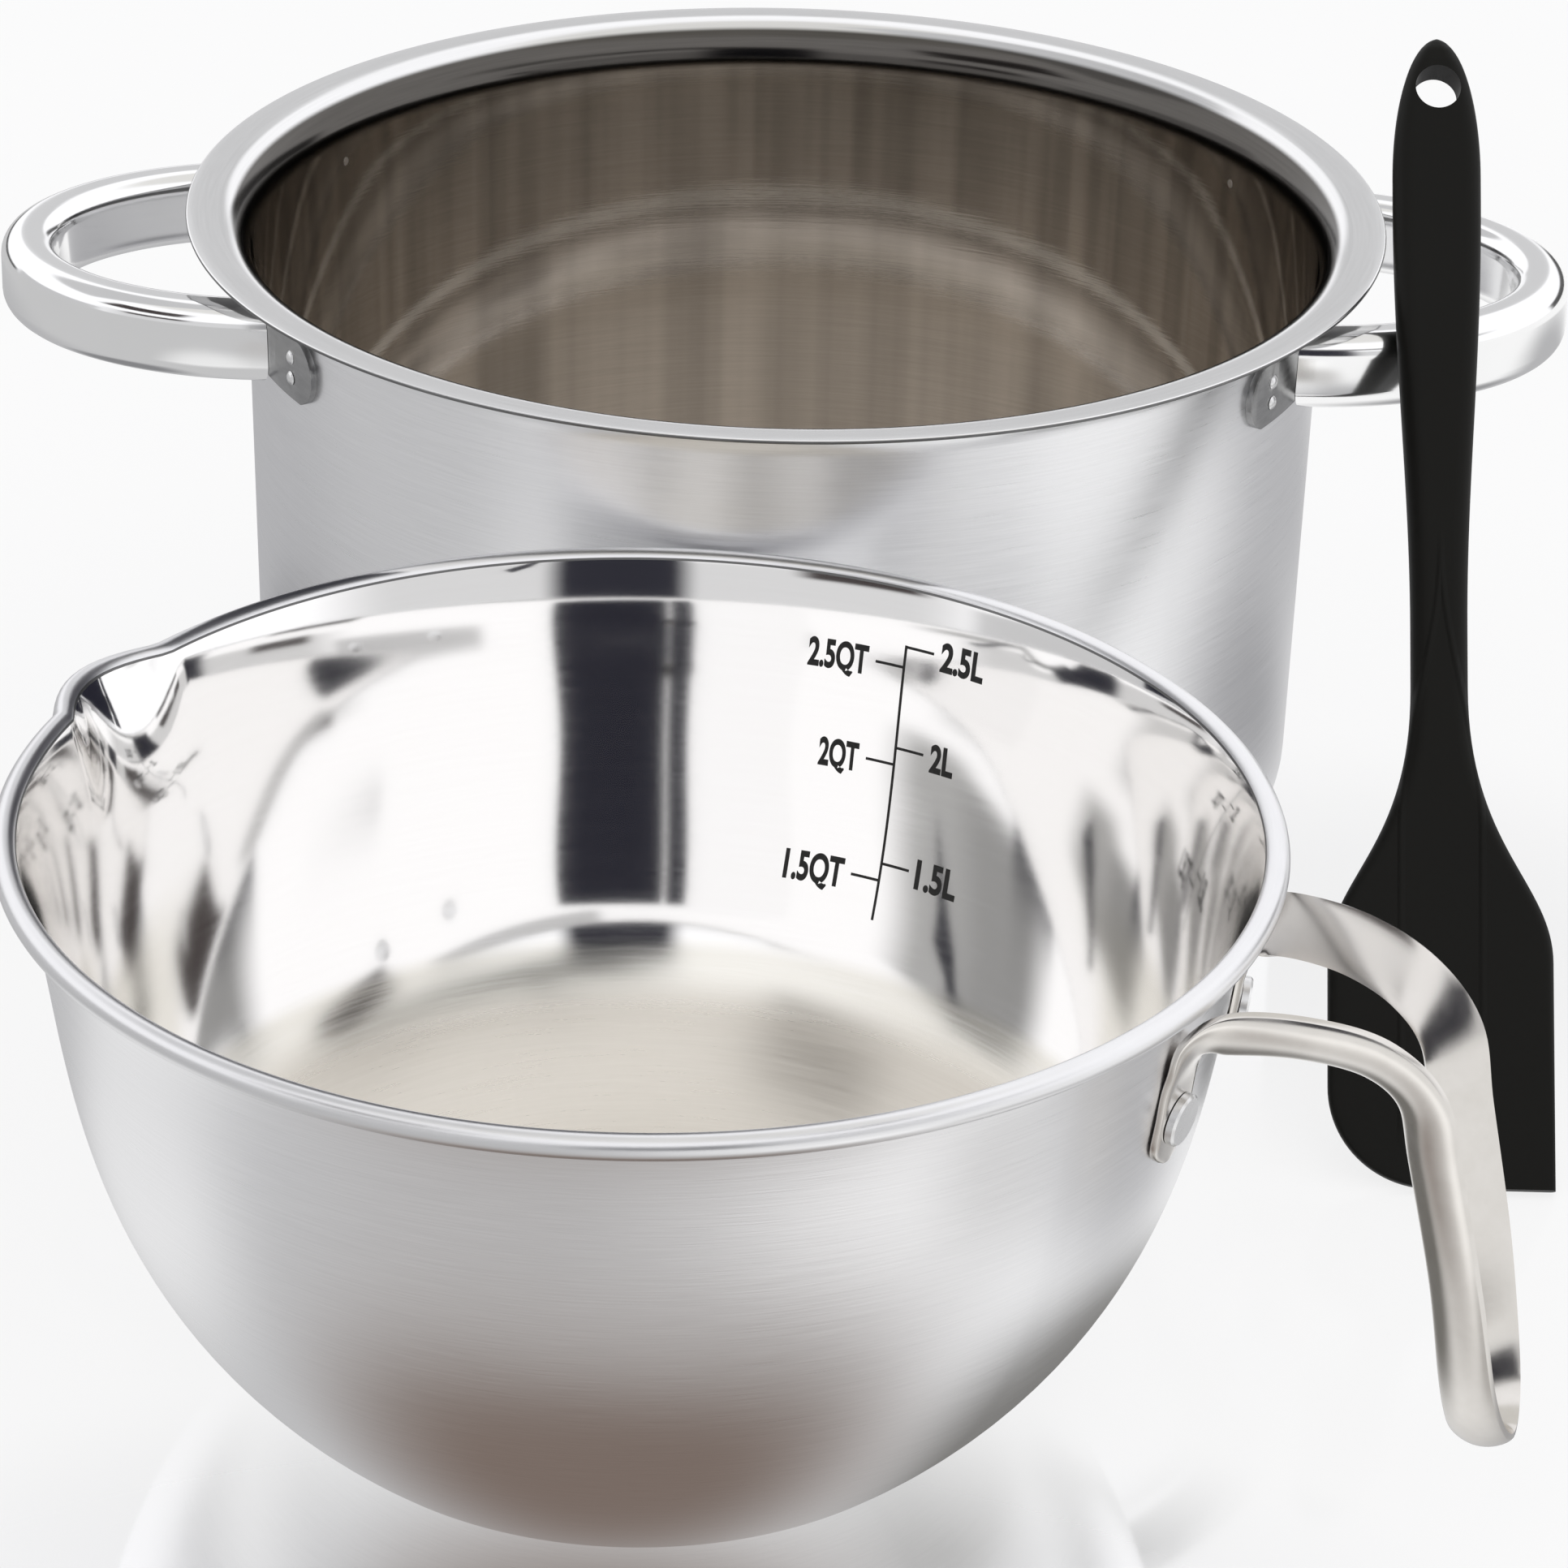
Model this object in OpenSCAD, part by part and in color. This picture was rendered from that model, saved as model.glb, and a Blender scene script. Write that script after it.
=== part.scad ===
// Double boiler set in millimetres, +Z up, with its origin on the table under the pot's middle.
// A wide pot holds the simmering water and has two loop handles on riveted brackets. The
// melting bowl has a rolled rim that seats in the pot's flared lip, a spout and a strap handle.
// The bowl stands in front of the pot (-Y) and a spatula leans on the pot's right handle.

/* [Pot] */
// Outer diameter of the wall where the lip starts to flare
pot_d = 219; // [190:1:260]
// Height from the table to the top of the lip
pot_h = 136.3; // [110:0.1:180]
// How much less the wall's diameter is at the foot than at the lip
pot_taper = 3; // [0:0.5:6]
// Thickness of the sheet steel
pot_sheet = 0.8; // [0.6:0.1:1.2]
// Outer radius between the wall and the bottom
pot_corner_r = 18; // [8:1:22]
// Radius of the flare under the lip
flare_r = 8; // [5:0.5:10]
// Width of the level edge outside the flare
lip_w = 4.1; // [2:0.1:6]

/* [Pot base] */
// Thickness of the aluminium disc that spreads the heat
core_t = 4; // [2:0.1:8]
// Thickness of the steel cap that closes the disc
cap_t = 0.6; // [0.4:0.1:1]
// How far the cap's edge stays inside the start of the rounded corner
base_margin = 3; // [1:0.5:8]

/* [Loop handles] */
// Width of a loop from outer face to outer face
loop_w = 88; // [76:1:100]
// How far a loop stands out from the pot's wall
loop_reach = 50.5; // [40:0.5:65]
// Thickness of the bar, seen from above
bar_w = 11; // [8:0.5:13]
// Height of the bar
bar_h = 16; // [12:0.5:20]
// Radius on the bar's long edges
bar_edge_r = 4.5; // [1:0.5:5]
// Distance from the foot of the flare down to the top of the bar
loop_drop = 0; // [0:0.5:15]

/* [Handle brackets] */
// Thickness of a bracket plate
plate_t = 1.4; // [1:0.1:2.5]
// Height of a bracket plate
plate_h = 13; // [10:0.5:16]
// Reach of a plate along the wall, from the middle of the bar's leg to its rounded end
plate_reach = 27; // [24:0.5:34]
// Reach of a plate on the inner side of the leg
plate_inner = 6.3; // [5.5:0.1:8]
// Diameter of a bracket rivet's shank
small_shank_d = 1.8; // [1.4:0.1:2.2]
// Diameter of a bracket rivet's domed head
small_head_d = 2.8; // [2.6:0.1:3.6]
// Height of a bracket rivet's domed head
small_head_h = 0.7; // [0.4:0.1:1]
// Distance between the two rivets of a bracket
small_pitch = 4.3; // [4:0.1:6]
// Distance from a plate's rounded end to its rivets
rivet_setback = 8.6; // [6:0.1:10]

/* [Melting bowl] */
// How far the bowl's rim reaches past the pot's wall all round, to seat in the flare
rim_seat = 0.5; // [0.3:0.1:2]
// Height of the bowl
bowl_h = 109.6; // [95:0.1:130]
// Diameter at the foot of the wall
bowl_base_d = 120; // [100:1:140]
// Thickness of the sheet steel
bowl_sheet = 0.8; // [0.6:0.1:1.2]
// Diameter of the rolled rim
bead_d = 4.4; // [3.6:0.1:5.4]
// Radius between the bottom and the wall
bowl_corner_r = 8; // [4:0.5:12]
// Slope of the wall where it leaves the bottom, in degrees
foot_slope = 41; // [35:1:50]
// Lean of the wall under the rim, in degrees from upright
rim_lean = 20; // [8:1:24]
// Length over which the wall keeps the foot's slope
low_pull = 57.6; // [45:0.1:62]
// Length over which the wall keeps the rim's lean
high_pull = 27; // [20:0.5:36]
// Sideways place of the bowl from the pot's middle
bowl_x = -21.4; // [-60:0.1:60]
// Gap between the bowl's rim and the pot's wall as the set stands
vessel_gap = 1.6; // [1:0.1:10]

/* [Spout] */
// Direction of the spout from the bowl's middle, in degrees from +X
spout_az = 154; // [120:1:200]
// Width of the spout along the rim
spout_w = 32; // [24:1:44]
// Height of wall that the spout takes in
spout_h = 24; // [12:1:34]
// How far the spout pushes the rim out
spout_reach = 5; // [3:0.1:7]

/* [Strap handle] */
// Direction of the handle from the bowl's middle, in degrees from +X
strap_az = -17.5; // [-40:0.5:10]
// Distance between the middles of the two ears
ear_pitch = 41; // [36:0.5:50]
// Width of the strap
strap_w = 11; // [9:0.5:13]
// Thickness of the strap at its edges
strap_edge_t = 1.5; // [1.2:0.1:2]
// Thickness of the strap at its crown in the grip
strap_crown_t = 3.5; // [2.5:0.1:4.5]
// Distance from the rim down to the end of an ear
ear_drop = 36.5; // [34:0.5:42]
// Distance from the rim down to the top of the arch
arch_drop = 11; // [10:0.5:16]
// How far the grip's end stands out from the rim
strap_reach = 42.5; // [36:0.5:60]
// Height of the grip's lower end above the table
strap_clear = 17; // [10:0.5:30]
// Distance between the legs of the grip at the middle of their width
grip_gap = 17.2; // [14:0.2:26]
// Turn of each leg away from the handle's middle plane, in degrees
strap_vee = 29; // [15:1:35]
// Gap between an ear and the bowl's wall
ear_gap = 0.1; // [0.05:0.05:0.3]
// Diameter of a handle rivet's shank
big_shank_d = 5; // [4:0.1:6]
// Diameter of a handle rivet's flat head
big_head_d = 9.3; // [8:0.1:10.5]
// Height of a handle rivet's flat head
big_head_h = 1.6; // [1:0.1:2.4]
// Height of the dome inside the bowl
big_dome_h = 0.4; // [0.3:0.1:1]
// Distance from an ear's end up to its rivet
rivet_rise = 8.5; // [7:0.1:11]

/* [Spatula] */
// Length of the spatula
spat_l = 232; // [200:1:280]
// Width of the blade at its straight end
blade_w = 43.2; // [36:0.1:54]
// Width of the neck
neck_w = 11; // [9:0.1:14]
// Greatest width of the handle
grip_w = 17.4; // [14:0.1:22]
// Thickness of the handle
grip_t = 8; // [7:0.1:11]
// Thickness of the blade at its straight end
blade_t = 2.2; // [1.8:0.1:3]
// Radius of the blade's rounded corner
blade_r = 19; // [12:0.5:22]
// Diameter of the hanging hole
hang_d = 9; // [6:0.1:10]
// Distance from the hanging hole's middle to the handle's end
hang_end = 11; // [9:0.5:13]
// Width of the stiffening core
core_w = 6; // [4:0.1:7]
// Thickness of the stiffening core
core_bar_t = 3; // [2:0.1:3.5]
// Lean of the spatula from upright, in degrees
spat_lean = 41.2; // [37:0.1:46]
// Place of the blade's end to the side of the pot's middle
spat_x = 128.8; // [122:0.1:134]

/* [Fits] */
// Clearance all round a rivet's shank
rivet_fit = 0.05; // [0.02:0.01:0.1]
// Gap between the spatula and the handle that it leans on
lean_gap = 0.3; // [0.2:0.05:1]

/* [Hidden] */
$fn = 120;
steel = [0.80, 0.80, 0.79];
satin = [0.72, 0.72, 0.71];
dark = [0.09, 0.09, 0.09];

// Pot: heights and radii of its outer surface
floor_z = cap_t + core_t;
corner_z = floor_z + pot_corner_r;
flare_z = pot_h - pot_sheet - flare_r;
wall_top_r = pot_d / 2;
wall_foot_r = (pot_d - pot_taper) / 2;
flat_r = wall_foot_r - pot_corner_r;
base_r = flat_r - base_margin;
lip_r = wall_top_r + flare_r + lip_w;

// Loop handles: middle line of the bar as half an ellipse on straight legs
leg_y = (loop_w - bar_w) / 2;
leg_straight = 2.5;
leg_start_x = wall_top_r - 14;
bar_top_z = flare_z - loop_drop;
bar_mid_z = bar_top_z - bar_h / 2;
loop_mid_x = sqrt(wall_top_r * wall_top_r - leg_y * leg_y) + leg_straight;
loop_out = wall_top_r + loop_reach - bar_w / 2 - loop_mid_x;

// Brackets: height, angles along the wall, and length of the cylinders that cut them
plate_below = 0.5;
plate_z = bar_top_z - plate_below - plate_h / 2;
cut_l = 20;
leg_az = asin(leg_y / (wall_top_r + plate_t));
plate_az_in = leg_az - arc_deg(plate_inner);
plate_az_out = leg_az + arc_deg(plate_reach);
plate_end_r = plate_h / 2 + 0.3;
end_az = plate_az_out - arc_deg(plate_end_r);
rivet_az = plate_az_out - arc_deg(rivet_setback);

// Bowl: place, rim and wall
bowl_r = wall_top_r + rim_seat;
bead_r = bead_d / 2;
bead_c = [bowl_r - bead_r, bowl_h - bead_r];
bowl_pitch = pot_r(bead_c[1]) + vessel_gap + bowl_r;
bowl_y = -sqrt(bowl_pitch * bowl_pitch - bowl_x * bowl_x);
bowl_flat_r = bowl_base_d / 2 - bowl_corner_r * tan(foot_slope / 2);
foot_p = [bowl_flat_r + bowl_corner_r * sin(foot_slope), bowl_corner_r * (1 - cos(foot_slope))];
top_p = bead_c + (bead_r - bowl_sheet) * [-cos(rim_lean), sin(rim_lean)];
low_p = foot_p + low_pull * [cos(foot_slope), sin(foot_slope)];
high_p = top_p - high_pull * [sin(rim_lean), cos(rim_lean)];
wall_steps = 9;
spout_low = bowl_h - spout_h;
spout_half = asin(spout_w / 2 / bowl_r);

// Strap handle: ears, arch and grip in the handle's own radial plane
ear_end_z = bowl_h - ear_drop;
ear_az = asin(ear_pitch / 2 / bowl_wall_r(ear_end_z + rivet_rise));
arch_z = bowl_h - arch_drop;
grip_end_r = bowl_r + strap_reach;
grip_low_z = strap_clear + strap_crown_t;

// Strap's inner face from an ear to the grip's end: distance from the bowl's axis, distance
// from the handle's middle plane, height, direction of the width, and share of the crown
leg_side = grip_gap / 2;
ear_crown = 0.1;
vee = [0, sin(strap_vee), cos(strap_vee)];
strap_way = [
    for (rise = [0, 9, 17]) ear_point(ear_end_z + rise),
    [bowl_r - 7, ear_pitch / 2 + 0.5, arch_z - 2.6, 0, 0.75, 0.65, 0.3],
    [bowl_r - 1, ear_pitch / 2 - 1.2, arch_z, vee[0], vee[1], vee[2], 0.7],
    [grip_end_r - 31.5, leg_side + 7.9, arch_z, vee[0], vee[1], vee[2], 1],
    [grip_end_r - 20.5, leg_side + 4.6, arch_z - 3.4, 0.25, 0.45, 0.8, 1],
    [grip_end_r - 13, leg_side + 2.4, arch_z - 11, 0.62, 0.48, 0.6, 1],
    [grip_end_r - 10, leg_side + 1, arch_z - 24, vee[2], vee[1], 0.2, 1],
    [grip_end_r - 5, leg_side, (arch_z + grip_low_z) / 2 - 8, vee[2], vee[1], 0.15, 1],
    [grip_end_r - 2, leg_side - 1, grip_low_z + 12.5, 0.9, 0.4, 0.12, 1],
    [grip_end_r - 0.5, leg_side - 4, grip_low_z + 3.5, 0.96, 0.25, 0.05, 1],
    [grip_end_r, 0, grip_low_z, 1, 0, 0, 1]];
strap_steps = 4;

// Spatula: widths and thicknesses along its length, measured up from the blade's end
shoulder_s = 44;
neck_s = 98;
waist_s = 110;
swell_s = 198;
crown_s = spat_l - 29;
hole_s = spat_l - hang_end;
core_from = 42;
core_to = hole_s - hang_d / 2 - 6;
spat_z = blade_t / 2 * sin(spat_lean);
rest_x = spat_x - grip_w / 2 + 2 - loop_mid_x;
rest_y = -(loop_w / 2 - bar_edge_r) * sqrt(1 - pow(rest_x / (loop_out + bar_w / 2 - bar_edge_r), 2));
rest_z = bar_top_z - bar_edge_r;
spat_y = rest_y - (sin(spat_lean) * (rest_z - spat_z) + grip_t / 2 + bar_edge_r + lean_gap)
    / cos(spat_lean);

function arc_deg(length) = length / (wall_top_r + plate_t) * 180 / PI;
function arc(c, r, a0, a1, n) = [for (i = [0:n]) let (a = a0 + (a1 - a0) * i / n) c + r * [cos(a), sin(a)]];
function unit(v) = v / norm(v);
function bezier(p0, p1, p2, p3, t) =
    pow(1 - t, 3) * p0 + 3 * t * pow(1 - t, 2) * p1 + 3 * t * t * (1 - t) * p2 + pow(t, 3) * p3;
function bezier_way(p0, p1, p2, p3, t) =
    unit(pow(1 - t, 2) * (p1 - p0) + 2 * t * (1 - t) * (p2 - p1) + t * t * (p3 - p2));
function pot_r(z) =
    wall_foot_r + (wall_top_r - wall_foot_r) * (z - corner_z) / (flare_z - corner_z);
function wall_p(i) = bezier(foot_p, low_p, high_p, top_p, i / wall_steps);
function wall_in(i) = let (d = bezier_way(foot_p, low_p, high_p, top_p, i / wall_steps))
    wall_p(i) + bowl_sheet * [-d[1], d[0]];
function bowl_wall_r(z) = lookup(z, [for (i = [0:wall_steps]) [wall_p(i)[1], wall_p(i)[0]]]);

function bowl_lean(z) = atan((bowl_wall_r(z + 4) - bowl_wall_r(z - 4)) / 8);
function ear_point(z) = let (r = bowl_wall_r(z) + ear_gap)
    [r * cos(ear_az), r * sin(ear_az), z, -sin(ear_az), cos(ear_az), 0, ear_crown];
function spline(a, b, c, d, t) = 0.5
    * (2 * b + (c - a) * t + (2 * a - 5 * b + 4 * c - d) * t * t + (3 * b - a - 3 * c + d) * t * t * t);

// Section of the bowl as one line: out along the bottom, up the wall, over and round the
// rolled rim, and back down the inside
bowl_line = concat(
    arc([bowl_flat_r, bowl_corner_r], bowl_corner_r, -90, foot_slope - 90, 3),
    [for (k = [1:wall_steps - 1]) wall_p(k)],
    arc(bead_c, bead_r - bowl_sheet, 180 - rim_lean, -130, 6),
    arc(bead_c, bead_r, -130, 180 - rim_lean, 9),
    [for (k = [wall_steps - 1:-1:1]) wall_in(k)],
    arc([bowl_flat_r, bowl_corner_r], bowl_corner_r - bowl_sheet, foot_slope - 90, -90, 3));
spout_turns = [for (k = [-6:6]) spout_az + spout_half * k / 6];
rim_turns = [for (k = [1:65]) spout_az + spout_half + (360 - 2 * spout_half) * k / 66];

// How far the spout pushes a point of the wall out, at an angle and a height
function spout_push(a, z) = let (near = (a - spout_az) / spout_half, rise = (z - spout_low) / (bowl_h - spout_low))
    abs(near) < 1 && rise > 0 ? spout_reach * cos(90 * near) * pow(rise, 1.5) : 0;

// Closed surface through rings of equal length, each a list of 3D points
module loft(rings) {
    n = len(rings[0]);
    m = len(rings);
    points = [for (ring = rings) each ring];
    sides = [for (i = [0:m - 2], k = [0:n - 1])
        let (a = i * n + k, b = i * n + (k + 1) % n)
        each [[a, b, b + n], [a, b + n, a + n]]];
    caps = [[for (k = [n - 1:-1:0]) k], [for (k = [0:n - 1]) (m - 1) * n + k]];
    polyhedron(points, concat(sides, caps), convexity = 8);
}

module pot_shell() {
    outside = concat([[0, floor_z]],
        arc([flat_r, corner_z], pot_corner_r, -90, 0, 8),
        arc([wall_top_r + flare_r, flare_z], flare_r, 180, 90, 10),
        [[lip_r - pot_sheet / 2, pot_h - pot_sheet]]);
    edge = arc([lip_r - pot_sheet / 2, pot_h - pot_sheet / 2], pot_sheet / 2, -60, 60, 4);
    inside = concat([[lip_r - pot_sheet / 2, pot_h]],
        arc([wall_top_r + flare_r, flare_z], flare_r + pot_sheet, 90, 180, 10),
        arc([flat_r, corner_z], pot_corner_r - pot_sheet, 0, -90, 8),
        [[0, floor_z + pot_sheet]]);
    color(steel) difference() {
        rotate_extrude() polygon(concat(outside, edge, inside));
        for (side = [0, 180], end = [-1, 1])
            bracket_shanks(side, end, small_shank_d / 2 + rivet_fit);
    }
}

module pot_base_core() {
    color("gainsboro") translate([0, 0, cap_t]) cylinder(h = core_t, r = base_r - cap_t);
}

module pot_base_cap() {
    color(steel) difference() {
        cylinder(h = floor_z, r = base_r);
        translate([0, 0, cap_t]) cylinder(h = floor_z, r = base_r - cap_t);
    }
}

// Solid of revolution inside a thin wall's outer surface, grown outwards
module pot_cone(grow) {
    rotate_extrude() polygon([[0, 0], [pot_r(0) + grow, 0], [pot_r(pot_h) + grow, pot_h], [0, pot_h]]);
}

module bar_section_loft(path) {
    x = bar_w / 2 - bar_edge_r;
    z = bar_h / 2 - bar_edge_r;
    outline = concat(arc([x, z], bar_edge_r, 0, 90, 3), arc([-x, z], bar_edge_r, 90, 180, 3),
        arc([-x, -z], bar_edge_r, 180, 270, 3), arc([x, -z], bar_edge_r, 270, 360, 3));
    loft([for (p = path) [for (q = outline)
        [p[0] + q[0] * p[2], p[1] + q[0] * p[3], bar_mid_z + q[1]]]]);
}

// One loop on the +X side, with legs that end on the bracket plates
module loop_handle() {
    half = [for (a = [-90:7.5:90]) let (n = unit([cos(a) * leg_y, sin(a) * loop_out]))
        [loop_mid_x + loop_out * cos(a), leg_y * sin(a), n[0], n[1]]];
    color(satin) difference() {
        bar_section_loft(concat([[leg_start_x, -leg_y, 0, -1]], half, [[leg_start_x, leg_y, 0, 1]]));
        pot_cone(plate_t);
    }
}

module left_handle() {
    mirror([1, 0, 0]) loop_handle();
}

module right_handle() {
    loop_handle();
}

// Bracket on the +X side at +Y: a curved plate with one rounded end
module bracket_plate() {
    low = plate_z - plate_h / 2;
    high = plate_z + plate_h / 2;
    color(satin) difference() {
        rotate([0, 0, plate_az_in]) rotate_extrude(angle = plate_az_out - plate_az_in)
            polygon([[pot_r(low), low], [pot_r(low) + plate_t, low],
                [pot_r(high) + plate_t, high], [pot_r(high), high]]);
        rotate([0, 0, end_az]) translate([wall_top_r, 0, plate_z]) difference() {
            translate([-cut_l / 2, 0, -plate_h]) cube([cut_l, plate_h, 2 * plate_h]);
            translate([-cut_l, 0, 0]) rotate([0, 90, 0]) cylinder(h = 2 * cut_l, r = plate_end_r, $fn = 64);
        }
        bracket_shanks(0, 1, small_shank_d / 2 + rivet_fit);
    }
}

// Radial pins at one bracket's two rivets, through the plate and the pot's wall
module bracket_shanks(side, end, r) {
    for (k = [-1, 1])
        rotate([0, 0, side + end * rivet_az])
            translate([wall_top_r - cut_l / 2, 0, plate_z + k * small_pitch / 2])
                rotate([0, 90, 0]) cylinder(h = cut_l, r = r, $fn = 24);
}

module left_front_bracket() {
    rotate([0, 0, 180]) bracket_plate();
}

module left_rear_bracket() {
    mirror([1, 0, 0]) bracket_plate();
}

module right_front_bracket() {
    mirror([0, 1, 0]) bracket_plate();
}

module right_rear_bracket() {
    bracket_plate();
}

// Rivets of one loop handle: each shank ends flush inside the pot and has a dome outside
module loop_rivets(side) {
    inner = pot_r(plate_z) - pot_sheet;
    face = pot_r(plate_z + (small_pitch + small_head_d) / 2) + plate_t;
    dome_r = (pow(small_head_d / 2, 2) + pow(small_head_h, 2)) / 2 / small_head_h;
    dome_a = asin(small_head_d / 2 / dome_r);
    section = concat([[0, inner], [small_shank_d / 2, inner], [small_shank_d / 2, face]],
        arc([0, face + small_head_h - dome_r], dome_r, 90 - dome_a, 90, 5));
    color(satin) for (end = [-1, 1], k = [-1, 1])
        rotate([0, 0, side + end * rivet_az]) translate([0, 0, plate_z + k * small_pitch / 2])
            rotate([0, 90, 0]) rotate_extrude($fn = 24) polygon(section);
}

module left_handle_rivets() {
    loop_rivets(180);
}

module right_handle_rivets() {
    loop_rivets(0);
}

module at_bowl() {
    translate([bowl_x, bowl_y, 0]) children();
}

// Puts +Z along the outward normal of the bowl's wall at the two handle rivets
module at_ears() {
    z = ear_end_z + rivet_rise;
    at_bowl() for (end = [-1, 1])
        rotate([0, 0, strap_az + end * ear_az]) translate([bowl_wall_r(z), 0, z])
            rotate([0, 90 + bowl_lean(z), 0]) children();
}

module bowl_shell() {
    turns = concat(spout_turns, rim_turns);
    n = len(bowl_line);
    m = len(turns);
    rim = [for (a = turns) each [for (p = bowl_line) let (r = p[0] + spout_push(a, p[1]))
        [r * cos(a), r * sin(a), p[1]]]];
    skin = [for (j = [0:m - 1], k = [0:n - 2])
        let (a = j * n + k, b = (j + 1) % m * n + k)
        each [[a, a + 1, b + 1], [a, b + 1, b]]];
    under = [for (j = [0:m - 1]) [m * n, j * n, (j + 1) % m * n]];
    over = [for (j = [0:m - 1]) [m * n + 1, ((j + 1) % m + 1) * n - 1, (j + 1) * n - 1]];
    color(steel) difference() {
        at_bowl() polyhedron(concat(rim, [[0, 0, 0], [0, 0, bowl_sheet]]),
            concat(skin, under, over), convexity = 8);
        at_ears() translate([0, 0, -4]) cylinder(h = 8, r = big_shank_d / 2 + rivet_fit, $fn = 32);
    }
}

module bowl_handle() {
    far = strap_way;
    near = [for (i = [len(far) - 2:-1:0]) [for (k = [0:6]) (k == 1 || k == 4 ? -1 : 1) * far[i][k]]];
    way = concat(far, near);
    last = len(way) - 1;
    ends = concat([2 * way[0] - way[1]], way, [2 * way[last] - way[last - 1]]);
    fine = [for (i = [0:last * strap_steps]) let (k = min(floor(i / strap_steps), last - 1))
        spline(ends[k], ends[k + 1], ends[k + 2], ends[k + 3], i / strap_steps - k)];
    n = len(fine) - 1;
    step = norm(spline(ends[0], ends[1], ends[2], ends[3], 1 / strap_steps) - way[0]);
    color(satin) difference() {
        at_bowl() rotate([0, 0, strap_az]) loft([for (i = [0:n]) let (
            p = fine[i],
            here = [p[0], p[1], p[2]],
            a = fine[max(i - 1, 0)],
            b = fine[min(i + 1, n)],
            way = unit([b[0] - a[0], b[1] - a[1], b[2] - a[2]]),
            wide = [p[3], p[4], p[5]],
            across = unit(wide - (wide * way) * way),
            out = cross(across, way),
            from_end = min(i, n - i) * step,
            half = strap_w / 2,
            w = from_end < half ? max(1.5, sqrt(half * half - pow(half - from_end, 2))) : half,
            rise = (strap_crown_t - strap_edge_t) * p[6])
            [for (q = concat([[-1, 0.3], [-0.93, 0], [0.93, 0], [1, 0.3]],
                [for (k = [1, 0.55, 0, -0.55, -1]) [k, strap_edge_t + rise * (1 - k * k)]]))
                here + q[0] * w * across + q[1] * out]]);
        at_ears() translate([0, 0, -1]) cylinder(h = 8, r = big_shank_d / 2 + rivet_fit, $fn = 32);
    }
}

module bowl_handle_rivets() {
    dome_w = big_head_d / 2 - 0.6;
    inner = bowl_sheet + ear_gap + dome_w * dome_w / bowl_wall_r(ear_end_z + rivet_rise);
    face = ear_gap + strap_edge_t + (strap_crown_t - strap_edge_t) * ear_crown;
    dome_r = (dome_w * dome_w + big_dome_h * big_dome_h) / 2 / big_dome_h;
    dome_a = asin(dome_w / dome_r);
    section = concat(arc([0, dome_r - inner - big_dome_h], dome_r, -90, dome_a - 90, 5),
        [[big_shank_d / 2, -inner], [big_shank_d / 2, face], [big_head_d / 2, face],
            [big_head_d / 2, face + big_head_h - 0.4], [big_head_d / 2 - 0.4, face + big_head_h],
            [0, face + big_head_h]]);
    color(satin) at_ears() rotate_extrude($fn = 48) polygon(section);
}

module at_spatula() {
    translate([spat_x, spat_y, spat_z]) rotate([-spat_lean, 0, 0]) children();
}

// Stadium-shaped bar lying in the spatula's middle plane
module core_bar() {
    translate([0, core_bar_t / 2, 0]) rotate([90, 0, 0]) linear_extrude(core_bar_t) union() {
        translate([-core_w / 2, core_from + core_w / 2]) square([core_w, core_to - core_from - core_w]);
        for (s = [core_from + core_w / 2, core_to - core_w / 2])
            translate([0, s]) circle(r = core_w / 2, $fn = 32);
    }
}

module spatula_silicone() {
    wide = blade_w / 2;
    slim = neck_w / 2;
    full = grip_w / 2;
    // Each entry: distance from the blade's end, reach to the left, reach to the right
    corner = [for (a = [0:15:90]) let (s = blade_r * (1 - cos(a)))
        [s, wide - blade_r + blade_r * sin(a), wide]];
    blade = [for (t = [0:0.125:1]) let (p = bezier([wide, shoulder_s], [wide, shoulder_s + 16],
        [slim, neck_s - 32], [slim, neck_s], t)) [p[1], p[0], p[0]]];
    grip = [for (t = [0:0.2:1]) let (p = bezier([slim, waist_s], [slim, waist_s + 30],
        [full, swell_s - 33], [full, swell_s], t)) [p[1], p[0], p[0]]];
    tip = [for (a = [10:10:80]) let (s = crown_s + (spat_l - crown_s) * sin(a))
        [s, full * cos(a), full * cos(a)]];
    rows = concat(corner, blade, grip, tip, [[spat_l, full * 0.1, full * 0.1]]);
    thickness = [[0, blade_t], [blade_r, blade_t + 0.6], [shoulder_s, 4.8], [shoulder_s + 22, 6.4],
        [neck_s, grip_t - 0.4], [waist_s + 10, grip_t], [hole_s + hang_d / 2 + 1, grip_t],
        [spat_l - 2.5, grip_t * 0.85], [spat_l - 0.8, grip_t * 0.6], [spat_l, grip_t * 0.35]];
    color(dark) at_spatula() difference() {
        loft([for (row = rows) let (
            half = (row[1] + row[2]) / 2,
            mid = (row[2] - row[1]) / 2,
            t = lookup(row[0], thickness),
            r = min(t * 0.42, half * 0.9),
            x = half - r,
            y = t / 2 - r)
            [for (q = concat(arc([x, -y], r, 360, 270, 3), arc([-x, -y], r, 270, 180, 3),
                arc([-x, y], r, 180, 90, 3), arc([x, y], r, 90, 0, 3)))
                [mid + q[0], q[1], row[0]]]]);
        core_bar();
        translate([0, grip_t, hole_s]) rotate([90, 0, 0]) cylinder(h = 2 * grip_t, r = hang_d / 2, $fn = 48);
    }
}

module spatula_core() {
    color("silver") at_spatula() core_bar();
}

pot_shell();
pot_base_core();
pot_base_cap();
left_handle();
right_handle();
left_front_bracket();
left_rear_bracket();
right_front_bracket();
right_rear_bracket();
left_handle_rivets();
right_handle_rivets();
bowl_shell();
bowl_handle();
bowl_handle_rivets();
spatula_silicone();
spatula_core();
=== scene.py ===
import math

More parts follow.
